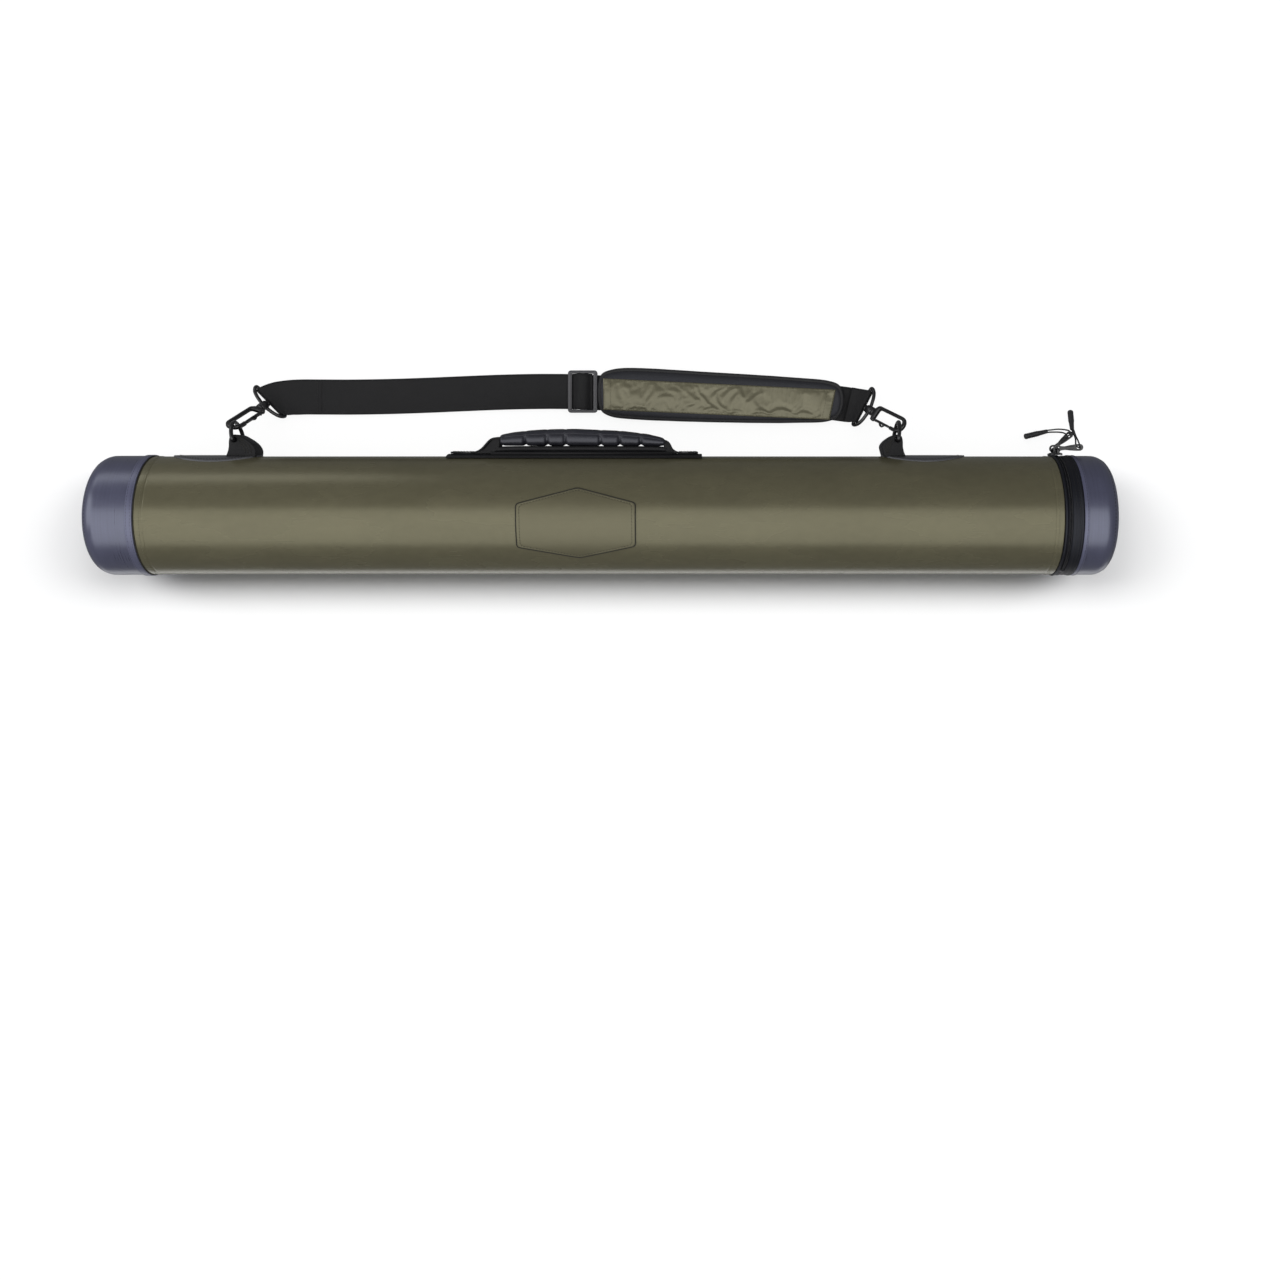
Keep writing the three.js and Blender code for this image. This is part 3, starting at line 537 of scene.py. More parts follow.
def lathe(profile, seg=192, a0=None, a1=None, disp=None, r_uv=60.0, x_phase=0.0):
    """profile of (x, r) points, closed, revolved about the tube axis. disp(x, angle, r) moves a point out."""
    pr = np.asarray(profile, float)
    full = a0 is None
    ang = np.linspace(0, 2 * PI, seg, endpoint=False) if full else np.radians(np.linspace(a0, a1, seg))
    x = pr[:, 0][:, None] + 0 * ang[None, :]
    r = pr[:, 1][:, None] + 0 * ang[None, :]
    A = 0 * x + ang[None, :]
    if disp is not None:
        r = r + disp(x, A, r)
    pos = np.stack([x, r * np.cos(A), r * np.sin(A)], -1)
    n, m = pos.shape[:2]
    d = np.concatenate([[0], np.cumsum(np.hypot(np.diff(np.append(pr[:, 0], pr[0, 0])), np.diff(np.append(pr[:, 1], pr[0, 1]))))])
    uu = (d + x_phase) * MM
    aa = np.append(ang, 2 * PI) if full else np.append(ang, ang[-1])
    vv = aa * r_uv * MM
    uv = np.stack(np.meshgrid(uu, vv, indexing="ij"), -1)
    v, f, t = grid(pos, True, full, uv)
    if not full:                                 # flat ends
        f.append(tuple(i * m for i in range(n)))
        f.append(tuple(i * m + m - 1 for i in reversed(range(n))))
        t += [(uu[i], vv[0]) for i in range(n)] + [(uu[i], vv[-1]) for i in reversed(range(n))]
    return v, f, t


def rounded_band(x0, x1, r0, r1, e=0.4, n=4, long_step=None):
    """Closed section between two radii with rolled edges."""
    e = min(e, (x1 - x0) / 2 - 1e-3, (r1 - r0) / 2 - 1e-3)
    pts = []
    for cx, cr, s in ((x1 - e, r1 - e, 0), (x1 - e, r0 + e, 1), (x0 + e, r0 + e, 2), (x0 + e, r1 - e, 3)):
        base = PI / 2 - s * PI / 2
        for i in range(n + 1):
            a = base - (PI / 2) * i / n
            pts.append((cx + e * math.cos(a), cr + e * math.sin(a)))
    if long_step:
        out = []
        for i, p in enumerate(pts):
            q = pts[(i + 1) % len(pts)]
            out.append(p)
            d = math.dist(p, q)
            k = int(d / long_step)
            out += [(p[0] + (q[0] - p[0]) * t / (k + 1), p[1] + (q[1] - p[1]) * t / (k + 1)) for t in range(1, k + 1)]
        pts = out
    return pts


def catmull(points, per=8, closed=False):
    """Centripetal Catmull-Rom through the points, as the CAD draws its bars."""
    p = [np.asarray(q, float) for q in points]
    n = len(p)
    out = []
    for i in range(n if closed else n - 1):
        p1, p2 = p[i], p[(i + 1) % n]
        p0 = p[(i - 1) % n] if (closed or i > 0) else 2 * p1 - p2
        p3 = p[(i + 2) % n] if (closed or i + 2 < n) else 2 * p2 - p1
        d0, d1, d2 = (max(np.sum((b - a) ** 2), 0.0) ** 0.25 for a, b in ((p0, p1), (p1, p2), (p2, p3)))
        d1 = d1 if d1 > 1e-4 else 1.0
        d0 = d0 if d0 > 1e-4 else d1
        d2 = d2 if d2 > 1e-4 else d1
        t1 = ((p1 - p0) / d0 - (p2 - p0) / (d0 + d1) + (p2 - p1) / d1) * d1
        t2 = ((p2 - p1) / d1 - (p3 - p1) / (d1 + d2) + (p3 - p2) / d2) * d1
        for k in range(per):
            t = k / per
            out.append(p1 + t1 * t + (-3 * p1 + 3 * p2 - 2 * t1 - t2) * t * t + (2 * p1 - 2 * p2 + t1 + t2) * t ** 3)
    if not closed:
        out.append(p[-1])
    return np.array(out)


def resample(path, step=None, count=None, closed=False):
    path = np.asarray(path, float)
    if closed:
        path = np.vstack([path, path[:1]])
    d = np.concatenate([[0], np.cumsum(np.linalg.norm(np.diff(path, axis=0), axis=1))])
    total = d[-1]
    n = count or max(2, int(round(total / step)) + (0 if closed else 1))
    s = np.linspace(0, total, n, endpoint=not closed)
    return np.stack([np.interp(s, d, path[:, k]) for k in range(path.shape[1])], -1)


def length_of(path):
    return float(np.sum(np.linalg.norm(np.diff(np.asarray(path, float), axis=0), axis=1)))


def frames_along(path, closed=False, first=None):
    """Tangents and a normal that doesn't spin, with the spin left over spread round a closed path."""
    p = np.asarray(path, float)
    n = len(p)
    if closed:
        t = np.roll(p, -1, 0) - np.roll(p, 1, 0)
    else:
        t = np.gradient(p, axis=0)
    t /= np.maximum(np.linalg.norm(t, axis=1), 1e-9)[:, None]
    u = np.asarray(first if first is not None else ((0, 0, 1) if abs(t[0][2]) < 0.9 else (1, 0, 0)), float)
    us = []
    for i in range(n):
        u = u - t[i] * (u @ t[i])
        u /= max(np.linalg.norm(u), 1e-9)
        us.append(u)
    us = np.array(us)
    if closed:
        last = us[-1] - t[0] * (us[-1] @ t[0])
        last /= np.linalg.norm(last)
        w0 = np.cross(t[0], us[0])
        twist = math.atan2(last @ w0, last @ us[0])
        for i in range(n):
            a = -twist * i / n
            w = np.cross(t[i], us[i])
            us[i] = us[i] * math.cos(a) + w * math.sin(a)
    ws = np.cross(t, us)
    return t, us, ws


def sweep(path, radius, sides=12, closed=False, first=None, wide=1.0, cap=True, uv_round=None):
    """Round (or oval) bar along a path. radius is one number or one per point."""
    p = np.asarray(path, float)
    n = len(p)
    r = np.broadcast_to(np.asarray(radius, float), (n,))
    _, us, ws = frames_along(p, closed, first)
    a = np.linspace(0, 2 * PI, sides, endpoint=False)
    pos = p[:, None, :] + r[:, None, None] * (np.cos(a)[None, :, None] * us[:, None, :] * wide + np.sin(a)[None, :, None] * ws[:, None, :])
    d = np.concatenate([[0], np.cumsum(np.linalg.norm(np.diff(np.vstack([p, p[:1]]), axis=0), axis=1))])
    vv = np.append(a, 2 * PI) * float(np.mean(r)) * MM
    uv = np.stack(np.meshgrid(d * MM, vv, indexing="ij"), -1)
    v, f, t = grid(pos, closed, True, uv)
    if not closed and cap:
        rings = []
        base = len(v)
        extra = []
        for end, i, sgn in ((0, 0, -1), (1, n - 1, 1)):
            tan = p[1] - p[0] if i == 0 else p[-1] - p[-2]
            tan = tan / np.linalg.norm(tan) * sgn
            prev = list(range(i * sides, i * sides + sides))
            for k in (1, 2):
                q = k * PI / 6
                ring = p[i] + tan * r[i] * math.sin(q) * 0.8 + (pos[i] - p[i]) * math.cos(q)
                idx = list(range(base + len(extra), base + len(extra) + sides))
                extra.extend(ring)
                for j in range(sides):
                    jj = (j + 1) % sides
                    q4 = (prev[j], prev[jj], idx[jj], idx[j]) if sgn < 0 else (prev[jj], prev[j], idx[j], idx[jj])
                    f.append(q4[::-1] if sgn < 0 else q4[::-1])
                    t += [(0, 0)] * 4
                prev = idx
            centre = base + len(extra)
            extra.append(p[i] + tan * r[i] * 0.8)
            for j in range(sides):
                jj = (j + 1) % sides
                f.append((prev[j], prev[jj], centre))
                t += [(0, 0)] * 3
        v = np.vstack([v, np.array(extra)])
    return v, f, t


def ribbon(stations, half, thick, across_n=9, edge=0.45, closed=False, cup=0.0, uv0=0.0):
    """Flat webbing. stations are (centre, across, normal). The section has rolled edges, and cup lifts its middle."""
    st = [(np.asarray(c, float), np.asarray(a, float), np.asarray(nn, float)) for c, a, nn in stations]
    half = np.broadcast_to(np.asarray(half, float), (len(st),))
    e = min(edge, thick / 2)
    ys = np.linspace(-1, 1, across_n)
    sec = [(y, 1, 0.0) for y in ys] + [(1.0, 0.55, 1.0), (1.0, -0.55, 1.0)] + [(y, -1, 0.0) for y in ys[::-1]] + [(-1.0, -0.55, 1.0), (-1.0, 0.55, 1.0)]
    rows, vcoord = [], []
    for (c, a, nn), h in zip(st, half):
        row = []
        for y, s, out in sec:
            inset = e * 0.6
            yy = y * (h - inset) + (inset * np.sign(y) if out else 0.0)
            zz = s * thick / 2
            if not out and abs(y) == 1.0:
                zz *= 0.86
            zz += cup * (1 - y * y)
            row.append(c + a * yy + nn * zz)
        rows.append(row)
    acc = 0.0
    for k, (y, s, out) in enumerate(sec):
        vcoord.append(y * half[0] * MM if not out else y * (half[0] + 0.3) * MM)
    vcoord.append(vcoord[0])
    cs = np.array([c for c, _, _ in st])
    d = np.concatenate([[0], np.cumsum(np.linalg.norm(np.diff(np.vstack([cs, cs[:1]]), axis=0), axis=1))]) + uv0
    uv = np.stack(np.meshgrid(d * MM, np.array(vcoord), indexing="ij"), -1)
    pos = np.array(rows)
    v, f, t = grid(pos, closed, True, uv)
    if not closed:
        m = len(sec)
        n = len(st)
        f.append(tuple(range(m))[::1])
        f.append(tuple((n - 1) * m + i for i in reversed(range(m))))
        t += [(0, 0)] * (2 * m)
    return v, f, t


def stitch_row(path, normal, pitch=3.2, length=2.3, radius=0.32, lift=0.12, closed=False, sides=6):
    """Thread lying in short runs along a path, each run dipping into the cloth at both ends.
    normal is one vector or a function of the point."""
    s = Soup()
    total = length_of(np.vstack([path, path[:1]]) if closed else path)
    n = max(1, int(total / pitch))
    dense = resample(path, count=n * 8 + (0 if closed else 1), closed=closed)
    m = len(dense)
    share = max(3, int(round(8 * length / pitch)))
    for k in range(n):
        ids = [(k * 8 + q) % m for q in range(share + 1)] if closed else [min(k * 8 + q, m - 1) for q in range(share + 1)]
        pts = dense[ids]
        if np.linalg.norm(pts[-1] - pts[0]) < 0.3:
            continue
        nn = np.array([normal(p) if callable(normal) else normal for p in pts], float)
        w = np.sin(np.linspace(0, PI, len(pts)))
        pts = pts + nn * (lift + radius * 1.1 * w - radius * 0.7)[:, None]
        rr = radius * (0.55 + 0.45 * w)
        s.add(*sweep(pts, rr, sides, False, nn[0], 1.0, True))
    return s


def from_curve(name, loops, half_t, bevel, mat, matrix, res=3, uv=True):
    """A plate cut from closed 2-D loops (the first outside, the rest holes), with rounded edges, laid by a matrix.
    Loops and matrix are in millimetres round the tube axis."""
    cu = bpy.data.curves.new(name + "_c", "CURVE")
    cu.dimensions = "2D"
    cu.fill_mode = "BOTH"
    cu.extrude = max(half_t - bevel, 1e-4)
    cu.bevel_depth = bevel
    cu.bevel_resolution = res
    cu.offset = -bevel
    for loop in loops:
        sp = cu.splines.new("POLY")
        sp.points.add(len(loop) - 1)
        for q, (x, y) in zip(sp.points, loop):
            q.co = (x, y, 0, 1)
        sp.use_cyclic_u = True
    tmp = bpy.data.objects.new(name + "_t", cu)
    scene.collection.objects.link(tmp)
    bpy.context.view_layer.update()
    me = bpy.data.meshes.new_from_object(tmp.evaluated_get(bpy.context.evaluated_depsgraph_get()))
    bpy.data.objects.remove(tmp)
    bpy.data.curves.remove(cu)
    v = np.array([q.co for q in me.vertices], float).reshape(-1, 3)
    f = [tuple(p.vertices) for p in me.polygons]
    bpy.data.meshes.remove(me)
    Mx = np.array(matrix, float)
    w = v @ Mx[:3, :3].T + Mx[:3, 3]
    t = [(v[i][0] * MM, v[i][1] * MM) for face in f for i in face]
    return w, f, t


def basis(ex, ey, ez, at):
    m = np.eye(4)
    m[:3, 0], m[:3, 1], m[:3, 2], m[:3, 3] = ex, ey, ez, at
    return m


def weld(o, dist=0.00002, angle=None):
    """Joins doubled points, makes the faces look outward, and marks sharp edges over the given angle."""
    import bmesh
    bm = bmesh.new()
    bm.from_mesh(o.data)
    bmesh.ops.remove_doubles(bm, verts=bm.verts, dist=dist)
    bmesh.ops.recalc_face_normals(bm, faces=bm.faces)
    if angle is not None:
        lim = math.radians(angle)
        for e in bm.edges:
            if len(e.link_faces) == 2 and e.calc_face_angle(0) > lim:
                e.smooth = False
    bm.to_mesh(o.data)
    bm.free()
    o.data.update()
    return o


def smooth_noise(seed, scale):
    """A small repeatable wave field, for uneven cloth."""
    rng = np.random.RandomState(seed)
    k = rng.uniform(-1, 1, (7, 2)) * scale
    ph = rng.uniform(0, 2 * PI, 7)
    am = rng.uniform(0.4, 1.0, 7)
    am /= am.sum()
    return lambda a, b: sum(am[i] * np.sin(k[i, 0] * a + k[i, 1] * b + ph[i]) for i in range(7))


# ----------------------------------------------------------- case: the tube
wave = smooth_noise(11, 0.010)
wave2 = smooth_noise(5, 0.030)


def cloth_relief(amount):
    """Soft unevenness of fabric drawn over foam, in millimetres."""
    return lambda x, a, r: amount * (0.7 * wave(x, a * 60) + 0.3 * wave2(x, a * 60)) - amount * 0.5


def hollow(name, node, x0, x1, r0, r1, mat, body, e=0.6, seg=160, step=None, disp=None):
    v, f, t = lathe(rounded_band(x0, x1, r0, r1, e, 3, step), seg, disp=disp)
    return place(weld(obj_from(name, v, f, mat, t)), body, [node])


# hidden structure, seen when the lid is open
hollow("hard_tube", "inner_tube", -494, 454.3, 52.5, 55.5, "pipe", "case", 0.9)
hollow("bore_lining", "tube_lining", -482.3, 454.3, 51.4, 52.2, "lining", "case", 0.3)
hollow("foam_sleeve", "foam_wrap", -488, 449, 55.8, 58.1, "foam", "case", 0.9, 128)
hollow("lid_cup_wall", "lid_inner_cup", 455.3, 494.6, 52.5, 55.5, "pipe", "lid", 0.9)
hollow("lid_foam_sleeve", "lid_foam_wrap", 457.2, 488, 55.8, 58.1, "foam", "lid", 0.9, 128)


def puck(name, node, x0, x1, r, mat, body, crown=0.0, e=1.2):
    """Round pad with rolled rims and a slightly crowned face."""
    e = min(e, (x1 - x0) / 2 - 0.05)
    side = [(x1 - e + e * math.sin(a), r - e + e * math.cos(a)) for a in np.linspace(PI / 2, 0, 5)]
    side += [(x0 + e - e * math.sin(a), r - e + e * math.cos(a)) for a in np.linspace(0, PI / 2, 5)]
    rings = [0.02, 8, 18, 28, 36, r - e - 3]
    rings = [q for q in rings if q < r - e - 0.5]
    left = [(x0 + crown * (1 - (q / r) ** 2), q) for q in rings[::-1]]
    right = [(x1 - crown * (1 - (q / r) ** 2), q) for q in rings]
    prof = left + right + side
    v, f, t = lathe(prof, 96)
    return place(weld(obj_from(name, v, f, mat, t), 0.00005), body, [node])


puck("base_padding", "base_end_padding", -502.9, -494.4, 42.5, "foam", "case", 0.4, 2.0)
puck("base_disc", "base_end_disc", -494, -491, 52.2, "pipe", "case", 0.0, 0.6)
puck("base_pad", "base_foam_pad", -490.7, -482.7, 51.2, "foam_black", "case", -0.0, 2.0)
puck("lid_padding", "lid_end_padding", 494.9, 502.9, 42.5, "foam", "lid", 0.4, 2.0)
puck("lid_pad", "lid_foam_pad", 483.2, 491.3, 51.6, "foam_black", "lid", 0.0, 2.0)
v, f, t = lathe([(491.7, 0.03), (491.7, 20), (491.7, 40), (491.7, 54.6), (494.5, 54.6), (494.5, 40), (494.5, 20), (494.5, 0.03)], 96)
place(weld(obj_from("lid_cup_floor", v, f, "pipe", t), 0.00005), "lid", ())

# outer olive sleeve, with turned and stitched ends
SL0, SL1 = -450.0, 449.0


def sleeve_disp(x, a, r):
    outer = np.clip((r - 58.9) / 0.4, 0, 1)
    fold_r = np.exp(-((x - 441.2) / 0.55) ** 2)
    fold_l = np.exp(-((x + 442.0) / 0.55) ** 2)
    ends = 0.16 * (np.clip((x - 441.2) / 1.5, 0, 1) + np.clip((-442.0 - x) / 1.5, 0, 1))
    seam = np.exp(-((np.angle(np.exp(1j * (a + PI * 0.72))) * 59.4) / 0.6) ** 2)
    soft = 0.22 * wave(x, a * 60) + 0.08 * wave2(x, a * 60) - 0.12
    fade = np.clip((448.0 - np.abs(x)) / 8, 0, 1)
    return outer * (soft * fade - 0.30 * fold_r - 0.30 * fold_l + ends - 0.28 * seam)


xs = np.unique(np.concatenate([np.linspace(SL0 + 1, SL1 - 1, 150), np.linspace(436, 448, 24), np.linspace(-448, -438, 20)]))
prof = [(x, 59.4) for x in xs[::-1]] + [(SL0 + 0.35, 59.28), (SL0, 58.95), (SL0 + 0.3, 58.5), (SL0 + 1.5, 58.4), (0, 58.4), (SL1 - 1.5, 58.4), (SL1 - 0.3, 58.5), (SL1, 58.95), (SL1 - 0.35, 59.28)]
v, f, t = lathe(prof, 224, disp=sleeve_disp)
sleeve = place(weld(obj_from("sleeve_fabric", v, f, "olive", t)), "case", ["outer_sleeve"])


def round_path(x, r, n=720, a0=0.0, a1=360.0, closed=True):
    a = np.radians(np.linspace(a0, a1, n, endpoint=not closed))
    return np.stack([np.full(n, float(x)), r * np.cos(a), r * np.sin(a)], -1)


def outwards(p):
    q = np.array([0.0, p[1], p[2]])
    return q / max(np.linalg.norm(q), 1e-9)


s = Soup()
for x in (443.6, -444.6):
    q = stitch_row(round_path(x, 59.42), outwards, 3.4, 2.5, 0.26, 0.06, True, 5)
    s.add(np.concatenate(q.v), q.f, np.concatenate(q.uv))
# a lock-stitched seam along the underside
a = -PI * 0.72
for off in (0.045,):
    line = np.stack([np.linspace(-440, 438, 1600), np.full(1600, 59.3 * math.cos(a + off)), np.full(1600, 59.3 * math.sin(a + off))], -1)
    q = stitch_row(line, outwards, 3.6, 2.7, 0.26, 0.06, False, 5)
    s.add(np.concatenate(q.v), q.f, np.concatenate(q.uv))
place(s.make("sleeve_stitches", "olive_thread"), "case", ())

# ------------------------------------------------------ slate caps and hems


def cap_profile(edge, end, r, skin, corner, crown=0.5):
    s = 1 if end > edge else -1
    cx, cr = end - s * corner, r - corner
    outer = [(end - s * crown * (1 - 0.0) * (1 - (q / cr) ** 2) * -0 - s * 0.0, q) for q in (0.02, 6, 14, 22, 30, 37, cr - 1.5)]
    arc = [(cx + s * corner * math.sin(t), cr + corner * math.cos(t)) for t in np.linspace(PI / 2, 0, 15)]
    straight = [(x, r) for x in np.linspace(cx, edge + s * 0.8, 14)[1:]]
    lip = [(edge + s * 0.25, r - 0.18), (edge, r - 0.6), (edge, r - skin + 0.5), (edge + s * 0.3, r - skin)]
    ci = corner - skin
    inner = [(cx + s * ci * math.sin(t), cr + ci * math.cos(t)) for t in np.linspace(0, PI / 2, 10)]
    inside = [(end - s * skin, q) for q in (30, 16, 0.02)]
    return outer + arc + straight + lip + inner + inside


cap_wave, cap_wave2 = smooth_noise(23, 0.05), smooth_noise(29, 0.11)


def cap_disp(edge, end):
    s = 1 if end > edge else -1

    def d(x, a, r):
        big = np.clip((r - 30) / 20, 0, 1)
        depth = np.abs(x - end)
        seam = np.exp(-((depth - 17.5) / 0.5) ** 2) * 0.22 * (r > 59.3)
        return big * (0.22 * cap_wave(x * 2, a * 60) + 0.1 * cap_wave2(x * 2, a * 60) - 0.16) - seam
    return d


def cap_piece(name, node, edge, end, body):
    v, f, t = lathe(cap_profile(edge, end, 60.0, 1.6, 17.0), 208, disp=cap_disp(edge, end))
    # the end panel bellies very slightly where it is padded
    v = np.array(v)
    s = 1 if end > edge else -1
    rr = np.hypot(v[:, 1], v[:, 2])
    out = (np.abs(v[:, 0] - end) < 0.01)
    v[out, 0] -= s * 0.5 * (rr[out] / 43) ** 2 * 0.8
    return place(weld(obj_from(name, v, f, "slate", t), 0.00004), body, [node])


cap_piece("base_cap_cover", "base_cap", -450.3, -505.0, "case")
cap_piece("lid_cover", "lid_shell", 468.0, 505.0, "lid")

# thread along the seam where the end panel meets the wall
s = Soup()
for end, body, nm in ((-505.0, "case", "base"), (505.0, "lid", "lid")):
    sg = 1 if end > 0 else -1
    s = Soup()
    c45 = math.radians(40)
    x, r = end - sg * 17 + sg * 17 * math.sin(c45), 43 + 17 * math.cos(c45)
    q = stitch_row(round_path(x - sg * 0.0, r - 0.35, 640), lambda p: outwards(p) * math.cos(c45) + np.array([sg * math.sin(c45), 0, 0]), 3.6, 2.6, 0.24, 0.12, True, 5)
    s.add(np.concatenate(q.v), q.f, np.concatenate(q.uv))
    place(s.make(nm + "_end_stitches", "black_thread"), body, ())

# raised, turned hem at the open edge of the base cap, in a lighter copy of the slate: a painted highlight along the
# hem
hem_prof = rounded_band(-458.0, -451.0, 59.7, 60.86, 0.55, 4, 0.7)


def hem_disp(x, a, r):
    top = np.clip((r - 60.2) / 0.4, 0, 1)
    return top * (-0.16 * np.exp(-((x + 452.6) / 0.35) ** 2) - 0.16 * np.exp(-((x + 456.6) / 0.35) ** 2) + 0.05 * wave2(x, a * 60) - 0.04)


v, f, t = lathe(hem_prof, 208, disp=hem_disp)
place(weld(obj_from("base_hem", v, f, "slate_hem_highlight", t)), "case", ["base_cap_hem"])
v, f, t = lathe(rounded_band(-451.0, -449.7, 59.0, 60.15, 0.5, 4), 208)
place(weld(obj_from("base_seam_cord", v, f, "seam_dark", t)), "case", ())
s = Soup()
for x in (-452.6, -456.6):
    q = stitch_row(round_path(x, 60.62, 720), outwards, 3.2, 2.4, 0.2, 0.02, True, 5)
    s.add(np.concatenate(q.v), q.f, np.concatenate(q.uv))
place(s.make("base_hem_stitches", "black_thread"), "case", ())

# turned edge of the lid's fabric beside the zip, in the same lighter slate: a painted highlight along the edge
v, f, t = lathe(rounded_band(468.0, 472.4, 59.6, 60.42, 0.38, 4, 0.6), 208)
place(weld(obj_from("lid_turned_edge", v, f, "slate_hem_highlight", t)), "lid", ())
s = Soup()
q = stitch_row(round_path(471.2, 60.42, 720), outwards, 3.2, 2.4, 0.2, 0.04, True, 5)
s.add(np.concatenate(q.v), q.f, np.concatenate(q.uv))
place(s.make("lid_edge_stitches", "black_thread"), "lid", ())

# ------------------------------------------------------------- zip and welt
# tape on the body side, folded over a round welt at the sleeve's end


def tape_disp(x, a, r):
    top = np.clip((r - 60.0) / 0.4, 0, 1)
    return top * (0.05 * wave2(x * 3, a * 60) - 0.04)


v, f, t = lathe([(449.3, 58.5), (449.3, 59.6), (449.45, 60.3), (449.95, 60.75), (450.6, 60.88), (451.3, 60.75), (451.75, 60.3), (451.85, 59.75), (452.2, 59.5), (452.6, 59.3), (452.6, 58.4), (450, 58.4)], 208, disp=tape_disp)
place(weld(obj_from("body_tape", v, f, "tape", t)), "case", ["body_zip_tape"])

prof = [(457.0, 58.5), (457.0, 59.2), (457.3, 59.5), (458.2, 59.62)]
prof += [(x, 59.75 + 0.65 * math.exp(-((x - 459.6) / 0.9) ** 2) * 0.0 + 0.0) for x in np.linspace(458.8, 464.6, 12)]
prof += [(465.0, 60.0), (465.25, 60.4), (465.8, 60.58), (466.6, 60.58), (467.3, 60.4), (467.7, 59.9), (467.7, 58.5), (462, 58.4)]


def lid_tape_disp(x, a, r):
    top = np.clip((r - 59.3) / 0.3, 0, 1)
    flat = (x > 458.5) & (x < 464.8)
    return top * np.where(flat, 0.10 * np.sin((x - 458.8) / 5.8 * PI) + 0.07 * wave2(x * 2, a * 60), 0.03 * wave2(x * 3, a * 60) - 0.03)


v, f, t = lathe(prof, 208, disp=lid_tape_disp)
place(weld(obj_from("lid_tape", v, f, "tape", t)), "lid", ["lid_zip_tape"])
s = Soup()
for x, r in ((460.3, 59.86), (463.6, 59.86)):
    q = stitch_row(round_path(x, r, 720), outwards, 3.0, 2.2, 0.2, 0.06, True, 5)
    s.add(np.concatenate(q.v), q.f, np.concatenate(q.uv))
place(s.make("lid_tape_stitches", "black_thread"), "lid", ())


def coil(name, node, x_back, x_tip, phase, body):
    """Zip coil: one nylon wire wound along the tape, its heads meeting the other side's at the joint line."""
    pitch = 1.35
    arc = math.radians(2 * 153.5) * 59.65
    turns = int(arc / pitch)
    per = 10
    k = np.arange(turns * per + 1)
    a = -math.radians(153.5) + k / per * pitch / 59.65 + phase * pitch / 59.65
    w = 2 * PI * k / per
    x = (x_back + x_tip) / 2 + (x_tip - x_back) / 2 * 0.72 * np.cos(w)
    head = np.clip(np.cos(w), 0, 1) ** 3
    r = 59.62 + 0.40 * np.sin(w) + 0.0 * head
    rad = 0.25 + 0.07 * head
    path = np.stack([x, r * np.cos(a), r * np.sin(a)], -1)
    keep = a < math.radians(153.8)
    s = Soup()
    s.add(*sweep(path[keep], rad[keep], 6, False, (1, 0, 0)))
    # the cord the coil is wound over
    cc = round_path((x_back * 0.62 + x_tip * 0.38), 59.62, 420, -153.5, 153.5, False)
    s.add(*sweep(cc, 0.26, 6, False, (1, 0, 0)))
    return place(s.make(name, "coil"), body, [node])


coil("body_coil", "body_zip_coil", 452.95, 454.55, 0.0, "case")
coil("lid_coil", "lid_zip_coil", 456.65, 455.05, 0.5, "lid")
# woven ground of the tape under both coils
v, f, t = lathe(rounded_band(452.5, 454.5, 58.45, 58.95, 0.2, 2), 208, -154, 154)
place(weld(obj_from("body_tape_ground", v, f, "tape", t)), "case", ())
v, f, t = lathe(rounded_band(455.0, 457.1, 58.45, 58.95, 0.2, 2), 208, -154, 154)
place(weld(obj_from("lid_tape_ground", v, f, "tape", t)), "lid", ())
# end stops
for sgn in (1, -1):
    aa = math.radians(154.6 * sgn)
    cpt = np.array([0, math.cos(aa), math.sin(aa)])
    tng = np.array([0, -math.sin(aa), math.cos(aa)])
    loop = [(-1.3, -1.1), (1.3, -1.1), (1.3, 1.1), (-1.3, 1.1)]
    w, ff, tt = from_curve("stop", [loop], 0.55, 0.25, "coil", basis((1, 0, 0), tng, cpt, cpt * 59.9 + np.array([453.2, 0, 0])))
    place(weld(obj_from("zip_stop_" + ("a" if sgn > 0 else "b"), w, ff, "plastic", tt), angle=50), "case", ())

# fabric hinge left unzipped at the far side
hx = np.linspace(452.6, 457.2, 15)
ha = np.radians(np.linspace(154.5, 205.5, 60))
bow = lambda x: 59.55 + 0.45 * math.cos((x - 454.9) / 2.3 * PI / 2)
outer = np.array([[(x, (bow(x) + 0.35) * math.cos(q), (bow(x) + 0.35) * math.sin(q)) for q in ha] for x in hx])
inner = np.array([[(x, (bow(x) - 0.35) * math.cos(q), (bow(x) - 0.35) * math.sin(q)) for q in ha] for x in hx])
n, m = outer.shape[:2]
uvh = np.stack(np.meshgrid(hx * MM, ha * 60 * MM, indexing="ij"), -1)
s = Soup()
v0, f0, t0 = grid(outer, uv=uvh, flip=True)
v1, f1, t1 = grid(inner, uv=uvh)
off = len(v0)
rim = [(i, 0) for i in range(n)] + [(n - 1, j) for j in range(1, m)] + [(i, m - 1) for i in range(n - 2, -1, -1)] + [(0, j) for j in range(m - 2, 0, -1)]
ids = [i * m + j for i, j in rim]
side = [(ids[k], ids[(k + 1) % len(ids)], ids[(k + 1) % len(ids)] + off, ids[k] + off) for k in range(len(ids))]
hinge = weld(obj_from("hinge_gusset", np.vstack([v0, v1]), f0 + [tuple(i + off for i in q) for q in f1] + side, "hinge", list(t0) + list(t1) + [(0, 0)] * (4 * len(side))))
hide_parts("lid_hinge_tape")
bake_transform(hinge)


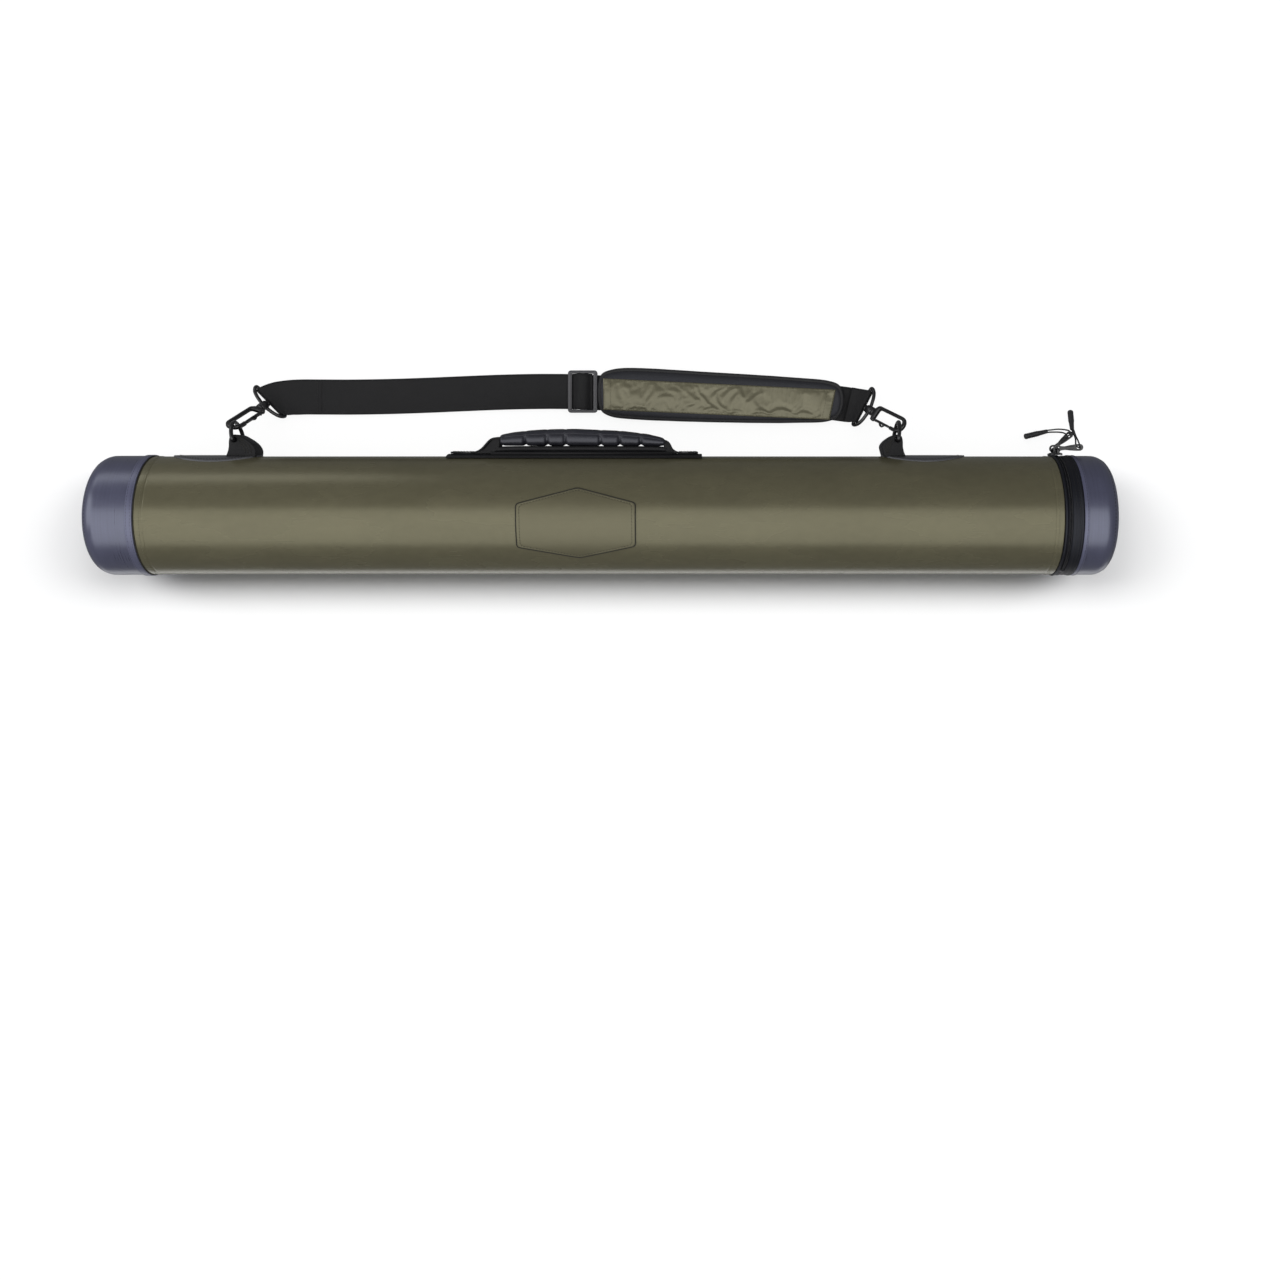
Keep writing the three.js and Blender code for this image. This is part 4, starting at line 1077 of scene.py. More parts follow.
# ---------------------------------------------------- patches sewn on the tube
def tube_patch(name, node, outline, face, r_in, r_out, mat, puff=0.0, groove=None, step=1.6, relief=None, n_out=220):
    """A cloth patch with a turned edge, wrapped on the tube. outline is (x, t); face is "z" (seen from above) or "y"."""
    o2 = resample(catmull_closed_sharp(outline), count=n_out, closed=True)
    c = o2.mean(0)
    size = np.mean(np.linalg.norm(o2 - c, axis=1))
    inset = lambda mm: 1 - mm / size
    ks = list(np.linspace(0.04, inset(5.0), 14)) + [inset(q) for q in (4.2, 3.6, 3.1, 2.7, 2.3, 1.9, 1.4, 0.9, 0.5, 0.2, 0.0)]
    rows, uvs = [], []

    def lift(p2, r):
        x, q = p2[:, 0], p2[:, 1]
        other = np.sqrt(np.maximum(r * r - q * q, 0))
        return np.stack([x, q, other], -1) if face == "z" else np.stack([x, other, q], -1)
    for k in ks:
        p2 = c + (o2 - c) * k
        d = (1 - k) * size
        r = r_out + puff * (1 - np.exp(-d / 6.0)) - 0.42 * max(0.0, 1 - d / 0.5) ** 1.5
        if groove is not None:
            r = r - 0.22 * math.exp(-((d - groove) / 0.35) ** 2)
        r = np.full(len(p2), r)
        if relief is not None:
            r = r + relief(p2[:, 0], p2[:, 1], d)
        rows.append(lift(p2, r))
        uvs.append(p2 * MM)
    rows.append(lift(c + (o2 - c) * 1.0, np.full(len(o2), r_in)))
    uvs.append(o2 * MM)
    uv = np.array(uvs)
    uv = np.concatenate([uv, uv[:, :1]], 1)
    v, f, t = grid(np.array(rows), False, True, uv)
    m = len(o2)
    f.append(tuple(range(m)))
    t = list(t) + [tuple(q) for q in uvs[0]]
    o = weld(obj_from(name, v, f, mat, t))
    return place(o, "case", [node] if node else ()), (c, o2, size, lift)


def catmull_closed_sharp(pts, bite=3.0, per=6):
    """Polygon with its corners rounded a little."""
    p = np.asarray(pts, float)
    out = []
    n = len(p)
    for i in range(n):
        a, b, c = p[i - 1], p[i], p[(i + 1) % n]
        la, lc = np.linalg.norm(a - b), np.linalg.norm(c - b)
        k = min(bite, la / 2.2, lc / 2.2)
        q0, q1 = b + (a - b) / la * k, b + (c - b) / lc * k
        for t in np.linspace(0, 1, per):
            out.append((1 - t) ** 2 * q0 + 2 * t * (1 - t) * b + t * t * q1)
    return np.array(out)


badge_wave = smooth_noise(41, 0.09)
badge, (bc, bo, bsize, blift) = tube_patch(
    "badge_cloth", "badge_patch", [(-81, 12.6), (-21.7, 28), (34.2, 13.5), (34.2, -28.4), (-20, -40), (-80.5, -29.4)],
    "z", 59.2, 60.35, "olive_badge", 0.22, 2.6, relief=lambda x, y, d: 0.10 * badge_wave(x, y) * min(1.0, d / 5))
edge2 = bc + (bo - bc) * (1 + 0.1 / bsize)
edge3 = blift(edge2, np.full(len(edge2), 59.95))
s = Soup()
s.add(*sweep(edge3, 0.62, 8, True))
place(s.make("badge_edge_cord", "seam_dark"), "case", ())
s = Soup()
in2 = bc + (bo - bc) * (1 - 2.6 / bsize)
q = stitch_row(resample(blift(in2, np.full(len(in2), 60.22)), count=900, closed=True), outwards, 3.0, 2.2, 0.24, 0.05, True, 5)
s.add(np.concatenate(q.v), q.f, np.concatenate(q.uv))
place(s.make("badge_stitches", "seam_dark"), "case", ())

for side, cx, half in (("left", -388.0, 44.0), ("right", 321.0, 42.0)):
    th = np.linspace(0, 2 * PI, 90, endpoint=False)
    oval = np.stack([cx + half * np.cos(th), 25 * np.sin(th)], -1)
    _, (pc, po, ps, pl) = tube_patch("anchor_cover_" + side, "anchor_patch_" + side, oval, "y", 59.2, 60.45, "patch", 0.12, 2.4)
    s = Soup()
    for d, r in ((2.4, 60.3), (4.6, 60.55)):
        in2 = pc + (po - pc) * (1 - d / ps)
        q = stitch_row(resample(pl(in2, np.full(len(in2), r)), count=900, closed=True), outwards, 3.0, 2.2, 0.24, 0.05, True, 5)
        s.add(np.concatenate(q.v), q.f, np.concatenate(q.uv))
    place(s.make("anchor_stitches_" + side, "black_thread"), "case", ())

# ------------------------------------------------------------- carry handle
v, f, t = lathe(rounded_band(-156, 99, 60.0, 61.9, 0.7, 3, 3.0), 30, -17.5, 17.5)
place(weld(obj_from("handle_base_strip", v, f, "webbing", t)), "case", ["handle_base"])
v, f, t = lathe(rounded_band(-112, 70, 61.8, 64.6, 1.0, 4, 3.0), 26, -12.5, 12.5)
place(weld(obj_from("handle_base_pad", v, f, "webbing", t)), "case", ())

HP = [(-152, 62.95), (-129, 62.95), (-122, 66.0), (-112, 76.0), (-107, 77.4), (-60, 77.4), (20, 77.4), (58, 75.6), (65, 73.2), (69.4, 66), (75, 62.95), (95, 62.95)]
hp = resample(catmull([(x, y, 0) for x, y in HP], 10), step=1.6)
tg = np.gradient(hp, axis=0)
tg /= np.linalg.norm(tg, axis=1)[:, None]
st = [(p, (0, 0, 1), (-q[1], q[0], 0)) for p, q in zip(hp, tg)]
s = Soup()
s.add(*ribbon(st, 12.3, 2.0, 13, 0.5))
flat = basis((1, 0, 0), (0, 1, 0), (0, 0, 1), (0, 0, 0))
# folded webbing that fills the angle at each end, and the lined inner layer under the grip
s.add(*from_curve("fold_left", [[(-129.5, 61.9), (-122.5, 64.9), (-118.2, 67.2), (-111.0, 75.6), (-107.6, 77.3), (-103.6, 77.3), (-103.2, 74.0), (-103.4, 70.0), (-104.6, 66.4), (-107.0, 64.4), (-110, 61.9)]], 11.4, 0.7, "webbing", flat, 3))
s.add(*from_curve("fold_right", [[(74.0, 61.9), (71.2, 64.4), (69.0, 66.6), (65.2, 73.0), (62.4, 74.4), (60.6, 74.2), (60.4, 71.0), (61.0, 67.4), (62.6, 64.6), (65, 61.9)]], 11.4, 0.7, "webbing", flat, 3))
inner = resample(catmull([(x, y, 0) for x, y in [(-106.5, 66.2), (-99, 66.8), (-84, 67.1), (-40, 67.2), (10, 67.1), (40, 67.0), (56, 66.8), (63.4, 66.3)]], 8), step=2.4)
ti = np.gradient(inner, axis=0)
ti /= np.linalg.norm(ti, axis=1)[:, None]
s.add(*ribbon([(p, (0, 0, 1), (-q[1], q[0], 0)) for p, q in zip(inner, ti)], 11.6, 4.9, 11, 1.6))
web = weld(s.make("handle_strap", "webbing"))
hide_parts("handle_webbing")
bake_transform(web)

s = Soup()
for x0, x1 in ((-150, -130), (76, 93.5)):
    z0, z1 = -10.4, 10.4
    y = 63.97
    box = np.array([(x0, y, z0), (x1, y, z0), (x1, y, z1), (x0, y, z1), (x0, y, z0)], float)
    for line in (box, np.array([(x0, y, z0), (x1, y, z1)], float), np.array([(x0, y, z1), (x1, y, z0)], float)):
        q = stitch_row(resample(line, step=0.3), (0, 1, 0), 3.0, 2.3, 0.3, 0.12, False, 5)
        s.add(np.concatenate(q.v), q.f, np.concatenate(q.uv))
place(s.make("handle_end_stitches", "black_thread"), "case", ())

GROOVES = (-78.2, -56.0, -37.9, -2.7, 16.5, 37.6)
gx = np.array([-104, -98, -90, -74, -58, -28, 18, 44, 56, 60, 63.0])
gt = np.array([80.6, 82.0, 83.6, 85.4, 86.5, 87.0, 85.0, 81.9, 79.0, 77.8, 75.0])
stn = np.unique(np.concatenate([np.linspace(-104, -98, 12), np.linspace(-98, 57, 150), np.linspace(57, 63, 12)]))
top = np.interp(stn, gx, gt)
ker = np.hanning(11)
top = np.convolve(np.pad(top, 5, mode="edge"), ker / ker.sum(), "valid")
low = np.interp(stn, [-104, -99, 56, 63], [70.9, 70.0, 69.5, 70.6])
gr = sum(np.exp(-((stn - g) / 1.9) ** 2) for g in GROOVES)
rows = []
th = np.linspace(0, 2 * PI, 64, endpoint=False)
for x, yt, yl, g in zip(stn, top, low, gr):
    d = min(x + 104, 63 - x)
    e = math.sqrt(max(0.0, 1 - (1 - min(1.0, d / 3.2)) ** 2)) * 0.62 + 0.38 if d < 3.2 else 1.0
    yl = yl + 1.7 * g * 1.0
    yc, hy = (yt + yl) / 2, (yt - yl) / 2
    c, sn = np.cos(th), np.sin(th)
    n_ = 2 / 3.4
    y = yc + hy * e * np.sign(c) * np.abs(c) ** n_
    z = 14.9 * e * np.sign(sn) * np.abs(sn) ** n_
    h = (y - yl) / (yt - yl)
    sm = np.clip((h - 0.60) / 0.12, 0, 1)
    sm = sm * sm * (3 - 2 * sm)
    pads = 1 - sm
    z = z * (1 - 0.11 * sm - 0.17 * g * pads - 0.07 * np.exp(-((h - 0.655) / 0.035) ** 2))
    y = y + 0.35 * np.sin(x * 0.9) * 0 - 0.35 * sm * g
    rows.append(np.stack([np.full(len(th), x), y, z], -1))
rows = np.array(rows)
uvg = np.stack(np.meshgrid(stn * MM, np.append(th, 2 * PI) * 15 * MM, indexing="ij"), -1)
v, f, t = grid(rows, False, True, uvg)
m = len(th)
f.append(tuple(range(m)))
f.append(tuple(len(v) - m + i for i in reversed(range(m))))
t = list(t) + [(0, 0)] * (2 * m)
place(weld(obj_from("grip_body", v, f, "grip", t), angle=55), "handle", ["handle_grip"])
# rim bead along the upper edge of each side of the grip, and the moulding's parting line
s = Soup()
for zs in (1, -1):
    line = np.stack([stn[8:-8], low[8:-8] + (top[8:-8] - low[8:-8]) * 0.70, np.full(len(stn) - 16, 13.15 * zs)], -1)
    s.add(*sweep(resample(line, step=1.5), 0.55, 8, False))
place(s.make("grip_beads", "grip"), "handle", ())

# ----------------------------------------------------- D-rings and their tabs
RING = {"left": (-368.4, -11.0, 1), "right": (294.4, 8.0, -1)}
tab_out = [(-9, 61.2), (-5.2, 66), (-4.9, 76), (-3.4, 79.4), (0, 80.9), (3.4, 79.6), (7, 75), (10.6, 69.5), (12.4, 64.4), (11.6, 61.2)]
tab_in = [(-5, 63.2), (-3.2, 66.4), (-2.9, 75.6), (-2, 78), (0, 78.9), (2, 78.2), (5.4, 73.8), (8.8, 68.6), (10.3, 64.6), (10, 63.2)]
for side, (rx, tilt, sg) in RING.items():
    lobe = {"left": [(-8.6, 58.8), (-6.8, 62.4), (-5.4, 68), (-5.1, 75), (-3.9, 79.2), (-0.4, 81.0), (4.2, 80.4), (9.6, 77.6), (15.2, 74.0), (19.6, 69.6), (21.8, 65.0), (21.6, 58.8)],
            "right": [(-8.6, 58.8), (-6.8, 62.4), (-5.4, 68), (-5.1, 75), (-3.9, 79.2), (-0.4, 81.0), (4.0, 80.0), (8.6, 77.4), (13.2, 73.6), (15.6, 69.4), (15.0, 65.0), (13.2, 58.8)]}[side]
    lobe = resample(catmull([(rx + sg * x, y, 0) for x, y in lobe], 6), step=0.8)[:, :2]
    eyelet = [(rx + 2.75 * math.cos(q), 76 + 2.75 * math.sin(q)) for q in np.linspace(0, 2 * PI, 26, endpoint=False)]
    flat = basis((1, 0, 0), (0, 1, 0), (0, 0, 1), (0, 0, 0))
    one = Soup()
    one.add(*from_curve("lobe", [[tuple(q) for q in lobe], eyelet], 12.6, 0.9, "webbing", flat, 4))
    place(weld(one.make("ring_loop_" + side, "webbing"), angle=50), "case", ["ring_tab_" + side])
    # edges of the folded layers, one shallow cord of thread per fold
    s = Soup()
    for kk in (0.30, 0.55, 0.80):
        for zz in (12.62, -12.62):
            pts = [(rx + sg * (7.5 + (x_ - 7.5) * kk), 62.6 + (y_ - 62.6) * (0.35 + 0.62 * kk), zz) for x_, y_ in ([(20, 62.6), (19, 67.5), (15, 73), (9.5, 76.6), (4.2, 79.2)] if side == "left" else [(12.6, 62.6), (13.6, 67.5), (11.6, 72), (8.0, 75.6), (4.2, 78.6)])]
            s.add(*sweep(resample(catmull(pts, 6), step=1.0), 0.30, 6, False))
    place(s.make("ring_loop_folds_" + side, "seam_dark"), "case", ())
    s = Soup()
    out_x = sg * (lobe[:, 0] - rx)
    for want in (68.6, 71.6):
        k_ = int(np.argmin(np.abs(lobe[:, 1] - want) + 100.0 * (out_x < 5)))
        tx, ty = lobe[k_ + 1] - lobe[k_ - 1]
        tl = math.hypot(tx, ty)
        nx, ny = -ty / tl, tx / tl
        if nx * sg < 0:
            nx, ny = -nx, -ny
        line = np.array([(*lobe[k_], -10.5), (*lobe[k_], 10.5)], float)
        q = stitch_row(resample(line, step=0.25), (nx, ny, 0), 2.6, 2.0, 0.26, 0.12, False, 5)
        s.add(np.concatenate(q.v), q.f, np.concatenate(q.uv))
    place(s.make("ring_loop_stitches_" + side, "black_thread"), "case", ())
    out = np.array([math.sin(math.radians(tilt)), math.cos(math.radians(tilt)), 0])
    c0 = np.array([rx, 76.0, 0.0])
    arc = [c0 + out * 18 * math.cos(a) + np.array([0, 0, 1]) * 18 * math.sin(a) for a in np.radians(np.linspace(-86, 86, 40))]
    cor = [c0 + out * 0.25 + np.array([0, 0, 17.6]), c0 + np.array([0, 0, 16.4])]
    cor2 = [c0 + np.array([0, 0, -16.4]), c0 + out * 0.25 + np.array([0, 0, -17.6])]
    bar = [c0 + np.array([0, 0, z]) for z in np.linspace(14, -14, 12)]
    path = resample(catmull(arc + cor + bar + cor2, 3, True), step=1.0, closed=True)
    s = Soup()
    s.add(*sweep(path, 1.98, 16, True, (1, 0, 0)))
    place(s.make("d_ring_" + side, "metal"), "ring_" + side, ["strap_ring_" + side])


# --------------------------------------------------------- hooks, gates, eyes
def local(pts, mtx):
    p = np.asarray(pts, float)
    m = np.asarray(mtx, float)
    return p @ m[:3, :3].T + m[:3, 3]


def spin(profile, mtx, seg=32, closed=True):
    """Closed (u, r) section turned about the local x axis."""
    pr = np.asarray(profile, float)
    a = np.linspace(0, 2 * PI, seg, endpoint=False)
    pos = np.stack([pr[:, 0][:, None] + 0 * a, pr[:, 1][:, None] * np.cos(a), pr[:, 1][:, None] * np.sin(a)], -1)
    d = np.concatenate([[0], np.cumsum(np.hypot(*np.diff(pr, axis=0).T))])
    d = np.append(d, d[-1] + 1)
    uv = np.stack(np.meshgrid(d * MM, np.append(a, 2 * PI) * float(np.max(pr[:, 1])) * MM, indexing="ij"), -1)
    v, f, t = grid(local(pos.reshape(-1, 3), mtx).reshape(pos.shape), closed, True, uv)
    return v, f, t


def arc2(cx, cy, r, a0, a1, n=14):
    return [(cx + r * math.cos(math.radians(a)), cy + r * math.sin(math.radians(a))) for a in np.linspace(a0, a1, n)]


def round_end(u0, u1, r, e=0.6, n=4, inner=0.01):
    """Profile of a short round bar with softened rims, from its axis to its axis."""
    p = [(u0, inner)]
    p += [(u0 + e - e * math.sin(t), r - e + e * math.cos(t)) for t in np.linspace(PI / 2, 0, n)]
    p += [(u1 - e + e * math.sin(t), r - e + e * math.cos(t)) for t in np.linspace(0, PI / 2, n)]
    return p + [(u1, inner)]


HOOK = {
    "left": dict(start=(-357.28, 111.40, -42.04), a=(-.3470, -.4301, .8334), v=(-.9298, .2742, -.2456), n=(-.1229, -.8601, -.4951), e=(-.6868, .7217, .0865), bar=(-351.90, 118.06, -54.95)),
    "right": dict(start=(274.70, 107.13, -41.31), a=(.5163, -.3450, .7838), v=(.5556, .8314, 0.0), n=(-.6517, .4355, .6210), e=(.4468, .8894, .0971), bar=(266.70, 112.48, -53.45)),
}
hook_line = ([(5.2, -4.6), (6.6, -8.2), (8.2, -8.9), (10.2, -8.8), (11.0, -7.6), (11.0, 3.9), (12.0, 5.0), (14, 5.2), (30, 5.2)]
             + arc2(45, 0, 5.2, 90, -90, 20) + [(41, -5.2), (38.2, -5.2), (37.4, -5.9), (37.4, -8.1), (38.2, -8.9), (41, -8.9)]
             + arc2(45, 0, 8.9, -90, 90, 28) + [(30, 8.9), (10.5, 8.9), (8.0, 8.2), (5.2, 4.8)])
for side, h in HOOK.items():
    h = {k: np.array(q, float) for k, q in h.items()}
    H = basis(h["a"], h["v"], h["n"], h["start"])
    s = Soup()
    s.add(*from_curve("hook", [hook_line], 2.3, 1.45, "metal", H, 4))
    s.add(*spin(round_end(-9.0, -6.6, 3.6, 0.8, 5), H, 28, False))
    s.add(*spin(round_end(-7.6, 5.6, 2.2, 0.4, 4), H, 24, False))
    s.add(*spin(round_end(3.9, 6.3, 4.3, 0.9, 5), H, 28, False))
    # rivet the gate turns on
    rv = basis(h["n"], h["a"], h["v"], h["start"] + h["a"] * 11.9 - h["v"] * 6.7)
    s.add(*spin(round_end(-2.75, 2.75, 1.25, 0.4, 4), rv, 18, False))
    place(weld(s.make("hook_" + side, "metal"), angle=48), "hook_" + side, ["snap_hook_" + side])
    s = Soup()
    gl = [(12.6, -7.6), (13.4, -7.9), (35.6, -7.9), (36.6, -7.3), (36.7, -6.4), (36.2, -5.7), (30, -5.55), (14, -5.4), (12.8, -5.8)]
    s.add(*from_curve("gate", [gl], 1.9, 0.8, "metal", H, 4))
    nub = catmull([local([(21, -7.6, 0)], H)[0], local([(23.5, -9.3, 0)], H)[0], local([(26.2, -9.7, 0)], H)[0], local([(28.2, -7.7, 0)], H)[0]], 6)
    s.add(*sweep(nub, 1.05, 10, False))
    place(weld(s.make("gate_" + side, "metal"), angle=48), "gate_" + side, ["hook_gate_" + side])
    f3 = np.cross(h["a"], h["e"])
    E = basis(h["a"], h["e"], f3, h["start"])
    s = Soup()
    s.add(*spin([(-6.0, 3.1), (-5.6, 2.65), (3.2, 2.65), (3.6, 3.1), (3.6, 4.0), (3.0, 4.6), (-5.4, 4.6), (-6.0, 4.0)], E, 30, True))
    H2 = 21.2
    right_arm = [(-3.0, 3.4, 0), (-3.9, 7.0, 0), (-5.2, 12.0, 0), (-8.2, H2 - 3.4, 0), (-12.0, H2 - 0.5, 0), (-14.6, H2 - 0.1, 0), (-15.5, H2 - 1.6, 0)]
    rest = [(-15.5, H2 - 4.5, 0), (-15.5, 8, 0), (-15.5, -8, 0), (-15.5, -(H2 - 4.5), 0)]
    loop = right_arm + rest + [(u, -w, q) for u, w, q in right_arm[::-1]]
    s.add(*sweep(resample(catmull(local(loop, E), 8), step=0.9), 1.85, 14, False, f3))
    place(weld(s.make("eye_" + side, "metal"), angle=60), "strap", ["strap_eye_" + side])

# --------------------------------------------------------- sliders, tabs, cords
X3, Y3, Z3 = np.eye(3)


def turned(angle):
    c, sn = math.cos(math.radians(angle)), math.sin(math.radians(angle))
    return np.array([[1, 0, 0], [0, c, -sn], [0, sn, c]])


TAB = {}
for idn, ang, rest in (("a", 6.6, 3.0), ("b", -6.6, 40.0)):
    R = turned(ang)
    at = np.array([454.8, 0, 0])
    m = basis(R @ X3, R @ -Z3, R @ Y3, at)
    s = Soup()
    top = [(-3.2, -6.5), (3.2, -6.5), (4.2, -4.6), (4.9, -2), (4.9, 4.6), (4.2, 6.0), (3.0, 6.5), (-3.0, 6.5), (-4.2, 6.0), (-4.9, 4.6), (-4.9, -2), (-4.2, -4.6)]
    lift = m.copy()
    lift[:3, 3] = at + (R @ Y3) * 62.25
    s.add(*from_curve("plate", [top], 0.75, 0.5, "metal", lift, 3))
    # side flanges that turn down over the coils
    for sx in (-1, 1):
        fl = basis(R @ X3, R @ -Z3, R @ Y3, at + (R @ Y3) * 61.6 + (R @ X3) * sx * 4.35)
        s.add(*from_curve("flange", [[(-0.5, -2.6), (0.5, -2.6), (0.5, 4.6), (-0.5, 4.6)]], 0.7, 0.3, "metal", fl, 2))
    # crown: an arched bar the pull tab hangs from
    cp = [(-4.4, 62.7), (-4.5, 65.2), (-4.1, 66.9), (-2.6, 67.6), (0, 67.75), (2.6, 67.6), (4.1, 66.9), (4.5, 65.2), (4.4, 62.7)]
    path = np.array([at + (R @ Y3) * y + (R @ Z3) * z for z, y in cp])
    s.add(*sweep(resample(catmull(path, 6), step=0.5), 0.95, 12, False, R @ X3, 1.35))
    place(weld(s.make("slider_" + idn, "metal"), angle=50), "slider_" + idn, ["zip_slider_" + idn])
    # pull tab
    r = math.radians(rest)
    d = R @ np.array([math.cos(r), math.sin(r), 0])
    p = R @ np.array([-math.sin(r), math.cos(r), 0])
    n_ = R @ Z3
    piv = at + (R @ Y3) * 67.5
    TM = basis(d, p, n_, piv)
    out = arc2(0, 0, 4.0, 35, 325, 26) + [(5.2, -1.95), (8, -1.8), (13, -2.7), (19, -3.3), (23, -3.5), (25.0, -2.6), (26, -0.9), (26, 0.9), (25.0, 2.6), (23, 3.5), (19, 3.3), (13, 2.7), (8, 1.8), (5.2, 1.95)]
    hole1, hole2 = arc2(0, 0, 2.2, 0, 345, 24), arc2(21, 0, 1.6, 0, 345, 24)
    s = Soup()
    s.add(*from_curve("tab", [out, hole1, hole2], 0.8, 0.34, "metal", TM, 3))
    for zz in (0.82, -0.82):
        rim = np.array([piv + d * (21 + 2.15 * math.cos(q)) + p * 2.15 * math.sin(q) + n_ * zz for q in np.linspace(0, 2 * PI, 28, endpoint=False)])
        s.add(*sweep(rim, 0.3, 6, True))
        for w in (-1.15, 1.15):
            s.add(*sweep(np.array([piv + d * u + p * w * (0.8 + 0.02 * u) + n_ * zz for u in np.linspace(8.5, 16.5, 9)]), 0.28, 6, False))
    place(weld(s.make("tab_" + idn, "metal"), angle=50), "tab_" + idn, ["pull_tab_" + idn])
    TAB[idn] = dict(hole=piv + d * 21, n=n_, d=d, p=p)

hA, nA, pA = TAB["a"]["hole"], TAB["a"]["n"], TAB["a"]["p"]
hB, nB, dB = TAB["b"]["hole"], TAB["b"]["n"], TAB["b"]["d"]
A3 = lambda *q: np.array(q, float)
CORD = {
    "a": [A3(483.5, 89.3, -41.6), A3(482.4, 86.4, -31.5), A3(480.2, 82.8, -19.8), A3(478, 79.6, -8), A3(476.4, 76.6, 2.5),
          hA + 5.9 * pA + 1.2 * nA, hA + 3.6 * pA + 4.3 * nA, hA + 0.6 * pA + 3.6 * nA, hA, hA - 3.8 * nA + 0.4 * pA,
          hA - 8 * nA + 2.2 * pA, A3(478.2, 76.2, -10), A3(480.3, 79.6, -20.5), A3(482.2, 83.4, -32), A3(483.5, 87.9, -43.3)],
    "b": [A3(460.8, 87.3, -57.8), A3(465.5, 87.8, -57.2), A3(471, 88.4, -54), A3(474.8, 88, -47), A3(476.2, 87, -36.5), A3(476, 85.9, -26),
          hB - 7.5 * nB + 6.3 * dB, hB - nB + 6.9 * dB, hB + 3.2 * nB + 5.4 * dB, hB + 4.4 * nB + 1.8 * dB, hB, hB - 3.8 * nB,
          hB - 8.5 * nB + 1.2 * dB, A3(473.2, 82, -26), A3(473.6, 83.8, -36), A3(472, 85, -46), A3(468.5, 85.4, -53.5), A3(464, 85.4, -57.4), A3(461.4, 85.1, -57.8)],
}
ENDS = {"a": (A3(483.6, 89.3, -43.0), A3(485.8, 107.6, -57.3)), "b": (A3(460.2, 86.0, -57.8), A3(437.6, 80.6, -57.8))}
for idn in ("a", "b"):
    p0, p1 = ENDS[idn]
    way = p1 - p0
    L = float(np.linalg.norm(way))
    way /= L
    side = np.cross(way, (0, 0, 1))
    side /= np.linalg.norm(side)
    EM = basis(way, side, np.cross(way, side), p0)
    pr = [(-1.9, 0.01), (-1.9, 1.7), (-1.6, 2.05), (0.0, 2.2), (4.0, 2.4), (7.0, 2.55), (8.4, 2.75), (9.0, 2.95)]
    u = 9.0
    while u < L - 4.0:                      # moulded finger ribs
        pr += [(u + 0.45, 2.98), (u + 0.8, 2.72), (u + 1.25, 2.72), (u + 1.6, 2.98)]
        u += 1.9
    pr += [(L - 1.6, 2.98), (L - 0.7, 2.7), (L - 0.15, 2.0), (L, 0.9), (L, 0.01)]
    s = Soup()
    s.add(*spin(pr, EM, 28, False))
    end = place(weld(s.make("pull_grip_" + idn, "pull_rubber"), angle=60), "tab_" + idn, ["pull_end_" + idn])
    path = catmull(CORD[idn], 10)
    s = Soup()
    s.add(*sweep(path, 0.79, 10, False))
    o = place(weld(s.make("cord_" + idn, "cord"), 0.00001), "tab_" + idn, ["pull_cord_" + idn])
    print("cord", idn, "length mm", round(length_of(path), 1))


# ------------------------------------------------------------ strap webbing
LOW, UP = -59.95, -57.95


def unit(a):
    a = np.asarray(a, float)
    return a / np.linalg.norm(a)


def bar_frame(side, inward):
    e = np.array(HOOK[side]["e"], float)
    t = np.array(inward, float)
    t = unit(t - e * (t @ e))
    up = unit(np.cross(t, e))
    if up[2] < 0:
        up = -up
    return e, t, up, np.array(HOOK[side]["bar"], float)


def around(fr, a0, a1, n):
    e, t, up, bar = fr
    out = []
    for q in np.radians(np.linspace(a0, a1, n)):
        radial = up * math.cos(q) - t * math.sin(q)
        out.append((bar + radial * 3.1, e, radial))
    return out


def mixd(a, b, k, z=None):
    c = unit(np.asarray(a) * (1 - k) + np.asarray(b) * k)
    if z is not None:
        c = unit((c[0], c[1], z))
    return c


eR, eL = bar_frame("right", (-0.97, 0.2, 0)), bar_frame("left", (0.88, 0.48, 0))
yv, zv = np.array([0, 1.0, 0]), np.array([0, 0, 1.0])
S = [(A3(252.5, 114.4, UP + 2.2), mixd(eR[0], yv, 0.5), zv), (A3(259, 113.4, UP + 3.4), mixd(eR[0], yv, 0.25), zv)]
S += around(eR, 0, 180, 9)
S += [(A3(258, 113.6, LOW + 0.9), mixd(eR[0], yv, 0.35, 0.03), -zv), (A3(247, 115.2, LOW), mixd(eR[0], yv, 0.75, 0.0), -zv)]
for x, y in [(228, 117.4), (180, 119.6), (108, 122), (40, 124.6), (6, 126.2), (-39, 128.2), (-75, 128.2), (-112, 127.4), (-150, 125.9), (-190, 124.2), (-230, 122.9), (-270, 122.3), (-300, 122.4)]:
    S.append((A3(x, y, LOW), yv, -zv))
S += [(A3(-322, 122.3, LOW), mixd(yv, eL[0], 0.10, 0.0), -zv), (A3(-339, 121.0, LOW + 0.7), mixd(yv, eL[0], 0.42, 0.03), -zv)]
S += around(eL, 180, 0, 9)
S += [(A3(-339, 121.0, UP + 3.2), mixd(yv, eL[0], 0.42), zv), (A3(-322, 122.3, UP + 1.6), mixd(yv, eL[0], 0.10), zv)]
for x, y in [(-300, 122.4), (-270, 122.3), (-230, 122.9), (-190, 124.2), (-150, 125.9), (-112, 127.4), (-75, 128.2), (-52, 128.2), (-26, 127.9)]:
    S.append((A3(x, y, UP), yv, zv))


